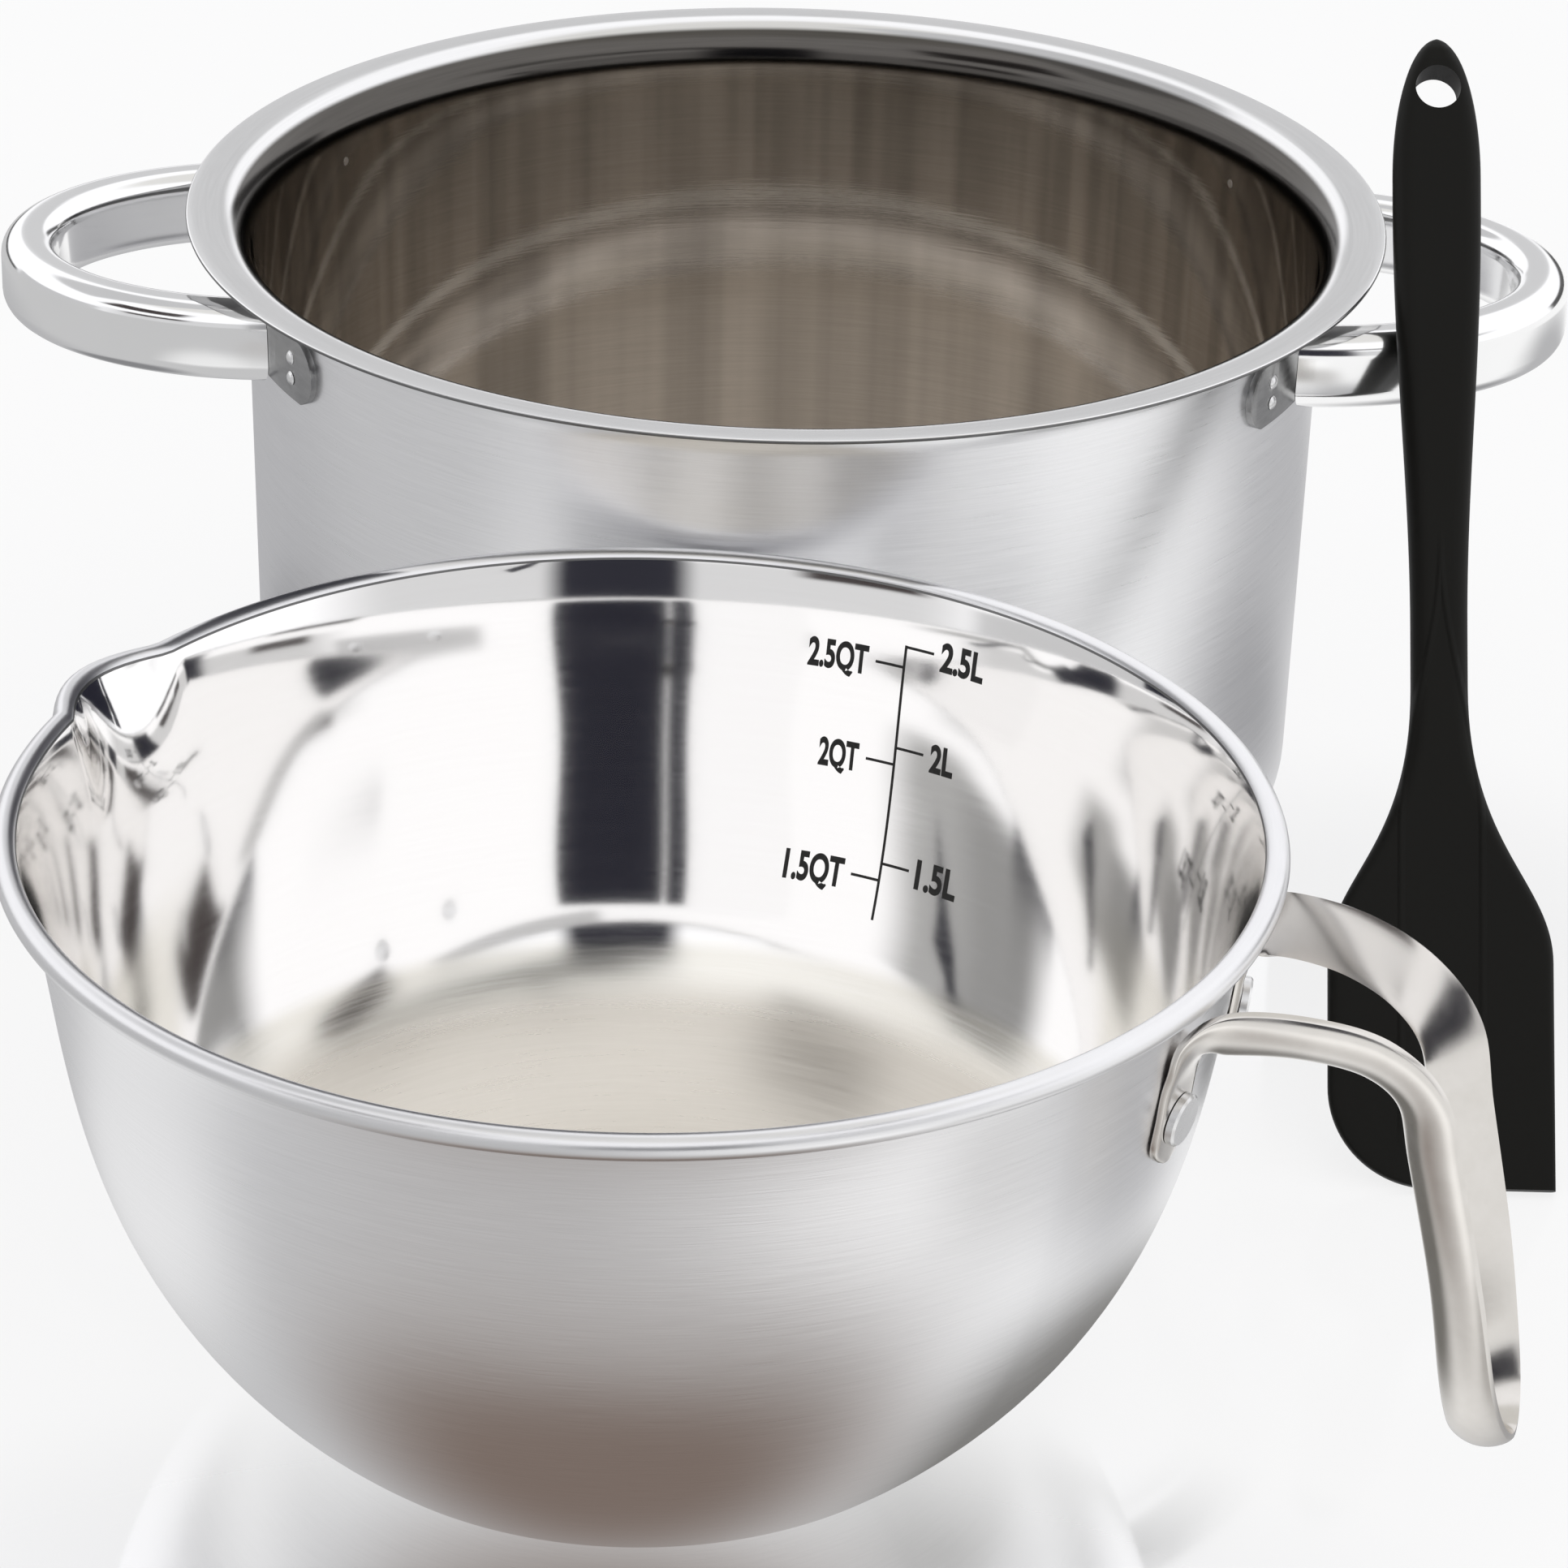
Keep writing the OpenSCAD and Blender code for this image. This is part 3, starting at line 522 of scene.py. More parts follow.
def bowlShell(b):
    slope, lean = b["footSlope"], b["rimLean"]
    count = b["wallSteps"]
    section = [(radius, 0) for radius in b["floorRings"]]
    section += arcPoints((bowlFlatR, b["cornerR"]), b["cornerR"], -90, slope - 90, b["cornerSteps"])
    section += [bezierPoint(wallCurve, i / count) for i in range(1, count)]
    section += arcPoints(beadCentre, b["beadD"] / 2 - b["sheet"], 180 - lean, b["curlEnd"],
                         b["curlSteps"][0])
    section += arcPoints(beadCentre, b["beadD"] / 2, b["curlEnd"], 180 - lean, b["curlSteps"][1])
    for i in range(count - 1, 0, -1):
        (r, z), (nr, nz) = bezierPoint(wallCurve, i / count), bezierNormal(wallCurve, i / count)
        section.append((r + b["sheet"] * nr, z + b["sheet"] * nz))
    section += arcPoints((bowlFlatR, b["cornerR"]), b["cornerR"] - b["sheet"], slope - 90, -90,
                         b["cornerSteps"])
    section += [(radius, b["sheet"]) for radius in b["floorRings"][::-1]]
    bm = bmesh.new()
    spinProfile(bm, section, b["steps"], bowlPlace[:2])
    for face in bm.faces:
        middle = face.calc_center_median() / mm - bowlPlace
        radius = math.hypot(middle.x, middle.y)
        inwards = face.normal.x * middle.x + face.normal.y * middle.y < 0
        onFloor = radius < bowlFlatR and face.normal.z > 0
        fromBead = Vector((radius - beadCentre[0], middle.z - beadCentre[1]))
        if fromBead.length < b["beadD"] / 2 + 0.1:
            around = math.degrees(math.atan2(fromBead.y, fromBead.x))
            # the bead's faces at its creases against the wall get painted shade
            face.material_index = 2 if b["creaseShadeUnder"] < around < 180 - lean - b["creaseShadeTurn"] else 3
        else:
            face.material_index = 1 if inwards or onFloor else 0
    for vert in bm.verts:
        here = vert.co / mm - bowlPlace
        radius = math.hypot(here.x, here.y)
        if radius > b["baseD"] / 2:
            push = spoutPush(math.degrees(math.atan2(here.y, here.x)), here.z)
            vert.co += Vector((here.x, here.y, 0)) / radius * push * mm
    return finishPiece("bowl_body", bm, [bowlOutside, bowlInside, beadSteel, paintedShadeSteel], "bowl",
                       ["bowl_shell"], sharp=50)


bowlShell(bowl)

innerTable = []
for i in range(tableSteps + 1):
    (r, z), (nr, nz) = bezierPoint(wallCurve, i / tableSteps), bezierNormal(wallCurve, i / tableSteps)
    innerTable.append((z + bowl["sheet"] * nz, r + bowl["sheet"] * nr))

# volume scale on the inner wall; each entry is its words, height on the wall and width
# bold and capHeight are in the typeface's own units
marks = {"az": 63.5, "line": (45.4, 98.2), "stroke": 0.5, "tick": 5.8, "gap": 1.5, "textH": 5.4,
         "lift": 0.06, "bold": 0.034, "capHeight": 0.73, "stripSteps": 40,
         "litre": [("2.5L", 97.9, 9.3), ("2L", 78.3, 5.0), ("1.5L", 55.9, 9.0)],
         "quart": [("2.5QT", 94.0, 11.8), ("2QT", 75.0, 7.9), ("1.5QT", 52.7, 11.8)]}


def onWall(m, u, z):
    # a place on the inner wall: u mm to the right of the scale's line as seen from inside
    radius = lookup(z, innerTable) - m["lift"]
    turn = math.radians(m["az"]) - u / radius
    return (Vector((radius * math.cos(turn), radius * math.sin(turn), z)) + bowlPlace) * mm


def markStrip(m, bm, low, high):
    longest = max(high[0] - low[0], high[1] - low[1])
    steps = [max(1, round((high[k] - low[k]) / longest * m["stripSteps"])) for k in (0, 1)]
    made = bmesh.ops.create_grid(bm, x_segments=steps[0], y_segments=steps[1], size=0.5)["verts"]
    for vert in made:
        u, z = [low[k] + (high[k] - low[k]) * (vert.co[k] + 0.5) for k in (0, 1)]
        vert.co = onWall(m, u, z)


def markText(m, bm, words, left, z, width):
    curve = bpy.data.curves.new(words, "FONT")
    curve.body = words
    curve.offset = m["bold"]
    text = bpy.data.objects.new(words, curve)
    bpy.context.scene.collection.objects.link(text)
    mesh = bpy.data.meshes.new_from_object(text.evaluated_get(bpy.context.evaluated_depsgraph_get()))
    bpy.data.objects.remove(text)
    bpy.data.curves.remove(curve)
    xs = [v.co.x for v in mesh.vertices]
    start = len(bm.verts)
    bm.from_mesh(mesh)
    bpy.data.meshes.remove(mesh)
    bm.verts.ensure_lookup_table()
    for vert in bm.verts[start:]:
        u = left + (vert.co.x - min(xs)) / (max(xs) - min(xs)) * width
        vert.co = onWall(m, u, z + (vert.co.y / m["capHeight"] - 0.5) * m["textH"])


def bowlMarks(m):
    bm = bmesh.new()
    half = m["stroke"] / 2
    markStrip(m, bm, (-half, m["line"][0]), (half, m["line"][1]))
    for side, entries in ((1, m["litre"]), (-1, m["quart"])):
        for words, z, width in entries:
            ends = sorted((0, side * m["tick"]))
            markStrip(m, bm, (ends[0], z - half), (ends[1], z + half))
            left = m["tick"] + m["gap"] if side > 0 else -m["tick"] - m["gap"] - width
            markText(m, bm, words, left, z, width)
    return finishPiece("bowl_marks", bm, [ink], "bowl")


bowlMarks(marks)
print("bowl made")

# strap handle

# the ears lie flat on the wall; the strap arches out at archDrop under the rim and bends down to the grip
strap = {"az": -17.5, "earPitch": 41.0, "width": 11.0, "edgeT": 1.5, "crownT": 3.5, "earDrop": 36.5,
         "earRises": (0, 9, 17), "archDrop": 11.0, "reach": 42.5, "clear": 17.0, "gripGap": 17.2,
         "vee": 29.0, "earGap": 0.1, "earCrown": 0.1, "earEndHalf": 1.5, "rivetRise": 8.5,
         "underEase": 0.12, "edgeEase": 0.35, "steps": 10}
earEndZ = bowl["height"] - strap["earDrop"]
earAz = math.degrees(math.asin(strap["earPitch"] / 2 / bowlWall(earEndZ + strap["rivetRise"])))


def strapWay(s):
    rim, archZ, lowZ = bowl["rimR"], bowl["height"] - s["archDrop"], s["clear"] + s["crownT"]
    end, leg = rim + s["reach"], s["gripGap"] / 2
    vy, vz = math.sin(math.radians(s["vee"])), math.cos(math.radians(s["vee"]))
    # each entry is a place, the way the strap is wide there, and its share of the full crown
    way = []
    a = math.radians(earAz)
    for z in [earEndZ + rise for rise in s["earRises"]]:
        r = bowlWall(z) + s["earGap"]
        way.append((r * math.cos(a), r * math.sin(a), z, -math.sin(a), math.cos(a), 0, s["earCrown"]))
    half = s["earPitch"] / 2
    way += [(rim - 7, half + 0.5, archZ - 2.6, 0, 0.75, 0.65, 0.3),
            (rim - 1, half - 1.2, archZ, 0, vy, vz, 0.7),
            (end - 31.5, leg + 7.9, archZ, 0, vy, vz, 1),
            (end - 20.5, leg + 4.6, archZ - 3.4, 0.25, 0.45, 0.8, 1),
            (end - 13, leg + 2.4, archZ - 11, 0.62, 0.48, 0.6, 1),
            (end - 10, leg + 1, archZ - 24, vz, vy, 0.2, 1),
            (end - 5, leg, (archZ + lowZ) / 2 - 8, vz, vy, 0.15, 1),
            (end - 2, leg - 1, lowZ + 12.5, 0.9, 0.4, 0.12, 1),
            (end - 0.5, leg - 4, lowZ + 3.5, 0.96, 0.25, 0.05, 1),
            (end, 0, lowZ, 1, 0, 0, 1)]
    return way + [(x, -y, z, a, -b, c, d) for x, y, z, a, b, c, d in way[-2::-1]]


def splinePoint(a, b, c, d, t):
    # between b and c on a smooth curve through all four
    return [q + 0.5 * ((r - p) * t + (2 * p - 5 * q + 4 * r - w) * t * t + (3 * q - p - 3 * r + w) * t ** 3)
            for p, q, r, w in zip(a, b, c, d)]


def beyond(a, b):
    # as far past a as b is before it
    return [2 * p - q for p, q in zip(a, b)]


def strapHandle(s):
    way = strapWay(s)
    last = len(way) - 1
    longer = [beyond(way[0], way[1])] + way + [beyond(way[-1], way[-2])]
    fine = []
    for i in range(last * s["steps"] + 1):
        k = min(i // s["steps"], last - 1)
        fine.append(splinePoint(*longer[k:k + 4], i / s["steps"] - k))
    n = len(fine) - 1
    lengths = [0]
    for a, b in zip(fine, fine[1:]):
        lengths.append(lengths[-1] + (Vector(a[:3]) - Vector(b[:3])).length)
    # the underside is flat with eased edges and the top is crowned; places across run from -1 to 1
    under = (1, 0.97, 0.9, 0.75, 0.5, 0.25, 0)
    outline = [(k, s["underEase"] * abs(k) ** 6) for k in [-t for t in under] + list(under[-2::-1])]
    top = (1, 0.985, 0.94, 0.86, 0.75, 0.62, 0.5, 0.37, 0.25, 0.12, 0)
    turn = Matrix.Rotation(math.radians(s["az"]), 3, "Z")
    rings = []
    for i, p in enumerate(fine):
        here = Vector(p[:3])
        along = (Vector(fine[min(i + 1, n)][:3]) - Vector(fine[max(i - 1, 0)][:3])).normalized()
        wide = Vector(p[3:6])
        across = (wide - wide.dot(along) * along).normalized()
        out = across.cross(along)
        fromEnd = min(lengths[i], lengths[-1] - lengths[i])
        half = s["width"] / 2
        if fromEnd < half:
            # the ear's round end
            half = max(s["earEndHalf"], math.sqrt(half * half - (half - fromEnd) ** 2))
        rise = (s["crownT"] - s["edgeT"]) * min(max(p[6], 0), 1)
        ring = [here + k * half * across + lift * out for k, lift in outline]
        for k in list(top) + [-t for t in top[-2::-1]]:
            thick = s["edgeT"] + rise * (1 - k * k) - s["edgeEase"] * abs(k) ** 12
            ring.append(here + k * half * across + thick * out)
        rings.append([turn @ q + bowlPlace for q in ring])
    bm = bmesh.new()
    sweepRings(bm, rings)
    return finishPiece("bowl_strap", bm, [strapSteel], "bowl", ["bowl_handle"], sharp=55)


strapHandle(strap)
dressNode("bowl_handle_rivets", rivetSteel)
print("strap handle made")

# spatula

# heights run up from the blade's tip; the pulls are those of the two curves of its outline
spatula = {"length": 232.0, "bladeW": 43.2, "neckW": 11.0, "gripW": 17.4, "gripT": 8.0, "bladeT": 2.2,
           "bladeR": 19.0, "bladeTop": 44, "bladePulls": (60, 66), "neck": (98, 110), "gripPulls": (140, 165),
           "gripTop": 198, "crown": 29, "hangD": 9.0, "hangEnd": 11.0, "lean": 41.2,
           "place": (128.8, -155.908, 0.7246), "edgeShare": 0.42, "sharp": 40, "cutDepth": 30, "cutSteps": 64,
           "cornerSteps": 24, "bladeSteps": 32, "gripSteps": 24, "crownSteps": 29, "crownEnd": 88,
           "flatSteps": 24, "edgeSteps": 6}
# two fine moulded ribs that run up the blade, half apart from its middle line, and meet at the neck
ribs = {"half": 7.8, "part": 55.0, "meet": 98.0, "from": 10.0, "fade": 4.0, "width": 0.9, "rise": 0.3}


def siliconeMaterial():
    material, tree, shader = newMaterial("black silicone")
    here = addNode(tree, "ShaderNodeTexCoord").outputs["Object"]
    fine = addNode(tree, "ShaderNodeTexNoise", {"Vector": here, "Scale": 900.0, "Detail": 3.0}).outputs[0]
    broad = addNode(tree, "ShaderNodeTexNoise", {"Vector": here, "Scale": 22.0, "Detail": 2.0}).outputs[0]
    tint = ramp(tree, broad, [(0.3, (0.0065, 0.0062, 0.0050)), (0.75, (0.0085, 0.0082, 0.0068))])
    tree.links.new(tint, shader.inputs["Base Color"])
    tree.links.new(spread(tree, broad, 0.42, 0.52), shader.inputs["Roughness"])
    shader.inputs["Specular IOR Level"].default_value = 0.12
    bump = addNode(tree, "ShaderNodeBump", {"Height": fine, "Strength": 0.06, "Distance": grainDepth})
    apart = addNode(tree, "ShaderNodeSeparateXYZ", {0: here})
    gap = calc(tree, "MULTIPLY", softStep(tree, apart.outputs[2], ribs["meet"] * mm, ribs["part"] * mm),
               ribs["half"] * mm)
    side = calc(tree, "ABSOLUTE", calc(tree, "SUBTRACT", apart.outputs[0], spatula["place"][0] * mm))
    away = calc(tree, "ABSOLUTE", calc(tree, "SUBTRACT", side, gap))
    rib = calc(tree, "MULTIPLY", softStep(tree, away, ribs["width"] * mm, 0.0),
               band(tree, apart.outputs[2], ribs["from"] * mm, ribs["meet"] * mm, ribs["fade"] * mm))
    raised = addNode(tree, "ShaderNodeBump", {"Height": rib, "Strength": 1.0, "Distance": ribs["rise"] * mm,
                                              "Normal": bump.outputs[0]})
    tree.links.new(raised.outputs[0], shader.inputs["Normal"])
    return material


silicone = siliconeMaterial()


def spatulaRows(s):
    # height, then the outline's reach to the left and to the right; only the left lower corner is round
    wide, slim, full = s["bladeW"] / 2, s["neckW"] / 2, s["gripW"] / 2
    r, bladeTop, (neckLow, neckHigh), gripTop = s["bladeR"], s["bladeTop"], s["neck"], s["gripTop"]
    rows = []
    for i in range(s["cornerSteps"] + 1):
        a = math.radians(90 * i / s["cornerSteps"])
        rows.append((r * (1 - math.cos(a)), wide - r + r * math.sin(a), wide))
    for i in range(1, 5):
        rows.append((r + (bladeTop - r) * i / 5, wide, wide))
    low, high = s["bladePulls"]
    shoulder = ((wide, bladeTop), (wide, low), (slim, high), (slim, neckLow))
    low, high = s["gripPulls"]
    grip = ((slim, neckHigh), (slim, low), (full, high), (full, gripTop))
    for curve, count in ((shoulder, s["bladeSteps"]), (grip, s["gripSteps"])):
        for i in range(count + 1):
            u, z = bezierPoint(curve, i / count)
            rows.append((z, u, u))
    for i in range(s["crownSteps"] + 1):
        a = math.radians(s["crownEnd"] * i / s["crownSteps"])
        z = s["length"] - s["crown"] * (1 - math.sin(a))
        if z > gripTop + 0.5:
            rows.append((z, full * math.cos(a), full * math.cos(a)))
    return rows


def spatulaBody(s):
    holeZ = s["length"] - s["hangEnd"]
    thin, full, count, arcSteps = s["bladeT"], s["gripT"], s["flatSteps"], s["edgeSteps"]
    # height and thickness
    thickness = [(0, thin), (s["bladeR"], thin + 0.6), (s["bladeTop"], 4.8), (s["bladePulls"][1], 6.4),
                 (s["neck"][0], full - 0.4), (s["neck"][1] + 10, full), (holeZ + s["hangD"] / 2 + 1, full),
                 (s["length"] - 2.5, full * 0.85), (s["length"] - 0.8, full * 0.6),
                 (s["length"], full * 0.35)]
    lean = Matrix.Rotation(math.radians(-s["lean"]), 3, "X")
    rings = []
    for z, left, right in spatulaRows(s):
        half, mid = (left + right) / 2, (right - left) / 2
        thick = lookup(z, thickness)
        # the edges' radius stays inside the narrow top
        r = min(thick * s["edgeShare"], half * 0.9)
        x, y = half - r, thick / 2 - r
        ring = arcPoints((x, -y), r, 360, 270, arcSteps)
        ring += [(x - 2 * x * i / count, -thick / 2) for i in range(1, count)]
        ring += arcPoints((-x, -y), r, 270, 180, arcSteps) + arcPoints((-x, y), r, 180, 90, arcSteps)
        ring += [(-x + 2 * x * i / count, thick / 2) for i in range(1, count)]
        ring += arcPoints((x, y), r, 90, 0, arcSteps)
        rings.append([lean @ Vector((mid + u, v, z)) + Vector(s["place"]) for u, v in ring])
    bm = bmesh.new()
    sweepRings(bm, rings)
    piece = finishPiece("spatula_body", bm, [silicone], "spatula", ["spatula_silicone"],
                        sharp=s["sharp"])
    # hanging hole
    cutter = bmesh.new()
    bmesh.ops.create_cone(cutter, cap_ends=True, segments=s["cutSteps"], radius1=s["hangD"] / 2 * mm,
                          radius2=s["hangD"] / 2 * mm, depth=s["cutDepth"] * mm)
    bmesh.ops.rotate(cutter, verts=cutter.verts, matrix=Matrix.Rotation(math.radians(90), 3, "X"))
    bmesh.ops.translate(cutter, verts=cutter.verts, vec=Vector((0, 0, holeZ)) * mm)
    bmesh.ops.transform(cutter, matrix=lean.to_4x4(), verts=cutter.verts)
    bmesh.ops.translate(cutter, verts=cutter.verts, vec=Vector(s["place"]) * mm)
    mesh = bpy.data.meshes.new("hole cutter")
    cutter.to_mesh(mesh)
    cutter.free()
    tool = bpy.data.objects.new("hole cutter", mesh)
    bpy.context.scene.collection.objects.link(tool)
    cut = piece.modifiers.new("hanging hole", "BOOLEAN")
    cut.object = tool
    cut.operation = "DIFFERENCE"
    cut.solver = "EXACT"
    applyModifiers(piece)
    bpy.data.objects.remove(tool)
    piece.data.set_sharp_from_angle(angle=math.radians(s["sharp"]))
    return piece


spatulaBody(spatula)
dressNode("spatula_core", discMetal)
print("spatula made")

# stage, light and camera

# floorSpots and mirrors are ellipses on the floor: only reflections see the spots, which are painted shadow
# and painted light on the floor, and the mirrors are where the floor itself mirrors, by the share; floorLeft
# and floorRight are a painted shade from side to side that only reflections see
# panels are parts of the world: turn 0 is towards the viewer; turn and rise are from, to and softness in
# degrees; floorHalf, floorDrop and floorTurn are in metres
stage = {"floorHalf": 6, "floorDrop": 0.0002, "floorBright": (0.92, 0.92, 0.925), "floorRough": 0.10,
         "floorWhiten": 0.80, "floorTurn": (-0.06, 0.07), "floorLeft": (0.60, 0.60, 0.605),
         "floorRight": (1.02, 1.02, 1.02), "mirrorRough": 0.06,
         "floorSpots": [
             {"place": (-185, -230), "size": (70, 60), "soft": 0.5, "colour": (0.92, 0.92, 0.92)},
             {"place": (-230, 150), "size": (150, 150), "soft": 0.5, "colour": (0.50, 0.50, 0.51)},
             {"place": (300, 130), "size": (170, 120), "soft": 0.5, "colour": (0.50, 0.50, 0.51)},
             {"place": (190, 5), "size": (60, 60), "soft": 0.6, "colour": (0.34, 0.34, 0.35)},
             {"place": (-182, 5), "size": (34, 64), "soft": 0.4, "colour": (0.26, 0.26, 0.27)},
             {"place": (48, -226), "size": (50, 56), "soft": 0.4, "colour": (0.22, 0.215, 0.205)},
             {"place": (105, -395), "size": (60, 60), "soft": 0.6, "colour": (1.3, 1.3, 1.3)},
             {"place": (150, -335), "size": (34, 44), "soft": 0.6, "colour": (0.62, 0.61, 0.60)},
             {"place": (168, -230), "size": (55, 58), "soft": 0.5, "colour": (0.48, 0.48, 0.49)},
             {"place": (-22, -345), "size": (108, 62), "soft": 0.6, "colour": (0.48, 0.455, 0.44)},
             {"place": (-28, -312), "size": (64, 38), "soft": 0.6, "colour": (0.22, 0.17, 0.145)}],
         "mirrors": [
             {"place": (-28, -325), "size": (118, 70), "soft": 0.5, "share": 0.85},
             {"place": (128, -50), "size": (60, 60), "soft": 0.6, "share": 0.22}],
         "worldTop": (0.82, 0.81, 0.79), "flagColour": (0.02, 0.02, 0.03), "cardColour": (1.1, 1.1, 1.12),
         "flagY": -124, "ribbonX": 60, "ribbonHalf": 5,
         "ribbonWay": [(-330, 166), (-337, 173), (-357, 191), (-369, 209), (-391, 234), (-409, 264)],
         "panels": [
             {"turn": (-185, 185, 1), "rise": (-10, 62, 6), "colour": (1.15, 1.15, 1.17)},
             {"turn": (168, 200, 3), "rise": (5, 36, 5), "colour": (0.66, 0.66, 0.67)},
             {"turn": (-200, -168, 3), "rise": (5, 36, 5), "colour": (0.66, 0.66, 0.67)},
             {"turn": (-160, -84, 4), "rise": (43, 80, 2), "colour": (0.60, 0.60, 0.61)},
             {"turn": (-118, -62, 3), "rise": (-10, 12.5, 1.5), "colour": (0.60, 0.60, 0.61)},
             {"turn": (120, 165, 3), "rise": (-10, 11, 2), "colour": (0.10, 0.10, 0.10)},
             {"turn": (-165, -120, 3), "rise": (-10, 5, 2), "colour": (0.10, 0.10, 0.10)},
             {"turn": (0, 60, 12), "rise": (25.5, 31.5, 1), "colour": (0.32, 0.32, 0.32)},
             {"turn": (44, 76, 12), "rise": (24, 31.5, 1.5), "colour": (0.46, 0.46, 0.46)},
             {"turn": (-68, -32, 3), "rise": (31, 46, 1.2), "colour": (0.06, 0.05, 0.05)},
             {"turn": (-60, 60, 12), "rise": (-10, 20, 2), "colour": (0.72, 0.72, 0.73)},
             {"turn": (-52, -28, 3), "rise": (13.5, 20.5, 1.5), "colour": (0.06, 0.05, 0.05)},
             {"turn": (-6, 19, 3), "rise": (-10, 27, 2), "colour": (0.03, 0.03, 0.04)}]}


def floorSpot(tree, here, spot):
    # 1 inside an ellipse on the floor, 0 outside it
    middle = [-value * mm for value in spot["place"]]
    scale = [1 / (value * mm) for value in spot["size"]]
    moved = addNode(tree, "ShaderNodeMapping", {"Vector": here, "Location": (*middle, 0)})
    scaled = addNode(tree, "ShaderNodeMapping", {"Vector": moved.outputs[0], "Scale": (*scale, 0)})
    away = addNode(tree, "ShaderNodeVectorMath", {0: scaled.outputs[0]}, operation="LENGTH")
    return softStep(tree, away.outputs["Value"], 1 + spot["soft"], 1 - spot["soft"])


def makeFloor():
    bm = bmesh.new()
    bmesh.ops.create_grid(bm, x_segments=1, y_segments=1, size=stage["floorHalf"])
    bmesh.ops.translate(bm, verts=bm.verts, vec=(0, 0, -stage["floorDrop"]))
    mesh = bpy.data.meshes.new("floor")
    bm.to_mesh(mesh)
    bm.free()
    floor = bpy.data.objects.new("floor", mesh)
    bpy.context.scene.collection.objects.link(floor)
    material, tree, shader = newMaterial("floor white")
    here = addNode(tree, "ShaderNodeTexCoord").outputs["Object"]
    apart = addNode(tree, "ShaderNodeSeparateXYZ", {0: here})
    path = addNode(tree, "ShaderNodeLightPath")
    # what reflections see of the floor: a painted shade from left to right with painted spots of shadow and
    # light
    seen = mixColour(tree, softStep(tree, apart.outputs[0], *stage["floorTurn"]), stage["floorLeft"],
                     stage["floorRight"])
    for spot in stage["floorSpots"]:
        seen = mixColour(tree, floorSpot(tree, here, spot), seen, spot["colour"])
    shader.inputs["Base Color"].default_value = (*stage["floorBright"], 1)
    shader.inputs["Roughness"].default_value = stage["floorRough"]
    # the camera sees the floor mostly white with the object's shadow, and reflections see the painted shadow
    # and light of the spots
    white = addNode(tree, "ShaderNodeEmission", {"Color": (1, 1, 1, 1), "Strength": 1.0})
    share = calc(tree, "MULTIPLY", path.outputs["Is Camera Ray"], stage["floorWhiten"])
    mix = addNode(tree, "ShaderNodeMixShader", {0: share, 1: shader.outputs[0], 2: white.outputs[0]})
    shown = addNode(tree, "ShaderNodeEmission", {"Color": seen, "Strength": 1.0})
    mix = addNode(tree, "ShaderNodeMixShader", {0: path.outputs["Is Glossy Ray"], 1: mix.outputs[0],
                                                2: shown.outputs[0]})
    mirror = addNode(tree, "ShaderNodeBsdfGlossy", {"Color": (1, 1, 1, 1), "Roughness": stage["mirrorRough"]})
    near = 0.0
    for spot in stage["mirrors"]:
        patch = calc(tree, "MULTIPLY", floorSpot(tree, here, spot), spot["share"])
        near = calc(tree, "MAXIMUM", near, patch)
    near = calc(tree, "MULTIPLY", near, path.outputs["Is Camera Ray"])
    mix = addNode(tree, "ShaderNodeMixShader", {0: near, 1: mix.outputs[0], 2: mirror.outputs[0]})
    tree.links.new(mix.outputs[0], tree.nodes["Material Output"].inputs[0])
    mesh.materials.append(material)


def flagCard(name, bm, colour):
    # a card that only reflections show, and only from the side that its faces look to
    mesh = bpy.data.meshes.new(name)
    bm.to_mesh(mesh)
    bm.free()
    card = bpy.data.objects.new(name, mesh)
    bpy.context.scene.collection.objects.link(card)
    material, tree, shader = newMaterial(name)
    glow = addNode(tree, "ShaderNodeEmission", {"Color": (*colour, 1), "Strength": 1.0})
    clear = addNode(tree, "ShaderNodeBsdfTransparent")
    side = addNode(tree, "ShaderNodeNewGeometry").outputs["Backfacing"]
    mix = addNode(tree, "ShaderNodeMixShader", {0: side, 1: glow.outputs[0], 2: clear.outputs[0]})
    tree.links.new(mix.outputs[0], tree.nodes["Material Output"].inputs[0])
    mesh.materials.append(material)
    card.visible_camera = card.visible_diffuse = card.visible_shadow = False


def uprightFlag(name, low, high, y, colour):
    # a card that faces the viewer; low and high are its corners' (x, z)
    bm = bmesh.new()
    bmesh.ops.create_grid(bm, x_segments=1, y_segments=1, size=0.5)
    bmesh.ops.rotate(bm, verts=bm.verts, matrix=Matrix.Rotation(math.radians(90), 3, "X"))
    size = Vector(((high[0] - low[0]) * mm, 1, (high[1] - low[1]) * mm))
    bmesh.ops.scale(bm, verts=bm.verts, vec=size)
    middle = Vector(((low[0] + high[0]) / 2, y, (low[1] + high[1]) / 2))
    bmesh.ops.translate(bm, verts=bm.verts, vec=middle * mm)
    flagCard(name, bm, colour)


def ribbonFlag(name, x, way, half, colour):
    # a bent strip in an upright plane; way lists (y, z) along its middle
    bm = bmesh.new()
    last = None
    for y, z in way:
        pair = [bm.verts.new(Vector((x, y + side * half, z + side * half)) * mm) for side in (-1, 1)]
        if last:
            bm.faces.new((last[0], last[1], pair[1], pair[0]))
        last = pair
    bm.normal_update()
    if bm.faces[:][0].normal.x > 0:
        bmesh.ops.reverse_faces(bm, faces=bm.faces)
    flagCard(name, bm, colour)


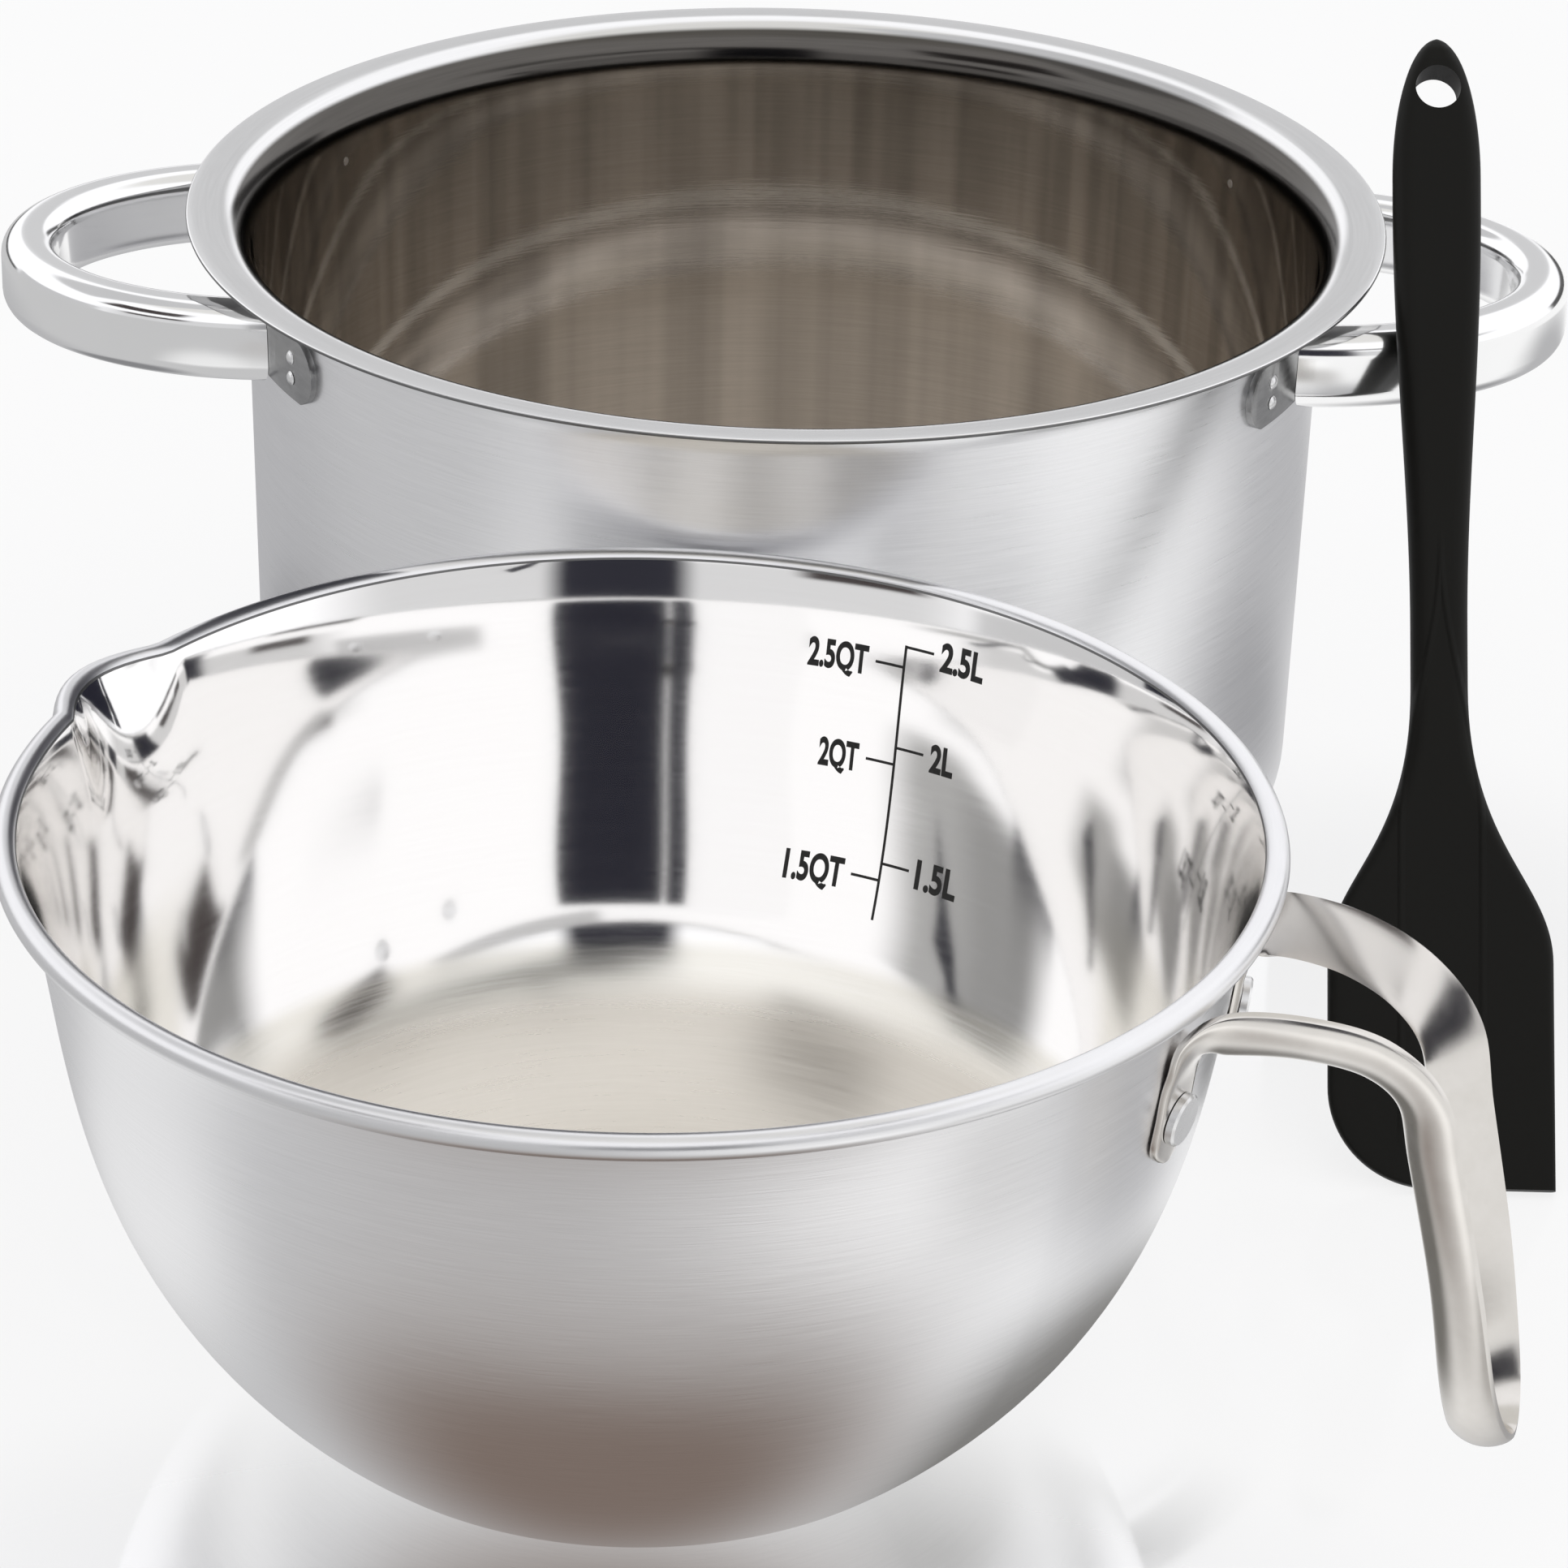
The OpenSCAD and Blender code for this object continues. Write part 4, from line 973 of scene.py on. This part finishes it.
def makeWorld():
    world = bpy.data.worlds.new("studio")
    bpy.context.scene.world = world
    world.use_nodes = True
    tree = world.node_tree
    way = addNode(tree, "ShaderNodeTexCoord").outputs["Generated"]
    apart = addNode(tree, "ShaderNodeSeparateXYZ", {0: way})
    turn = calc(tree, "ARCTAN2", apart.outputs[0], calc(tree, "MULTIPLY", apart.outputs[1], -1.0))
    turn = calc(tree, "MULTIPLY", turn, 180 / math.pi)
    rise = calc(tree, "MULTIPLY", calc(tree, "ARCSINE", apart.outputs[2]), 180 / math.pi)
    colour = stage["worldTop"]
    for panel in stage["panels"]:
        mask = calc(tree, "MULTIPLY", band(tree, turn, *panel["turn"]), band(tree, rise, *panel["rise"]))
        colour = mixColour(tree, mask, colour, panel["colour"])
    tree.links.new(colour, tree.nodes["Background"].inputs[0])
    tree.nodes["Background"].inputs[1].default_value = 1.0


# the focal length and the width are in the photograph's pixels; drop and roll are in degrees
shot = {"focalPixels": 6800, "widthPixels": 1932, "sensor": 36, "far": 50, "drop": 26.92, "roll": 1.45,
        "place": (2.45, -1054.0, 539.1)}


def makeCamera(c):
    data = bpy.data.cameras.new("camera")
    data.sensor_width = c["sensor"]
    data.lens = c["sensor"] * c["focalPixels"] / c["widthPixels"]
    data.clip_end = c["far"]
    camera = bpy.data.objects.new("camera", data)
    bpy.context.scene.collection.objects.link(camera)
    tilt = Matrix.Rotation(math.radians(90 - c["drop"]), 4, "X")
    roll = Matrix.Rotation(math.radians(c["roll"]), 4, "Z")
    camera.matrix_world = Matrix.Translation(Vector(c["place"]) * mm) @ tilt @ roll
    bpy.context.scene.camera = camera


makeFloor()
uprightFlag("dark flag left", (-108, 112), (-8, 260), stage["flagY"], stage["flagColour"])
uprightFlag("dark flag right", (-3, 112), (14, 260), stage["flagY"], stage["flagColour"])
uprightFlag("white card", (16, 112), (180, 300), stage["flagY"], stage["cardColour"])
ribbonFlag("dark ribbon", stage["ribbonX"], stage["ribbonWay"], stage["ribbonHalf"], stage["flagColour"])
makeWorld()
makeCamera(shot)
bpy.context.scene.view_settings.view_transform = "Standard"
bpy.context.scene.cycles.glossy_bounces = 12
bpy.context.scene.cycles.max_bounces = 16
print("stage set")
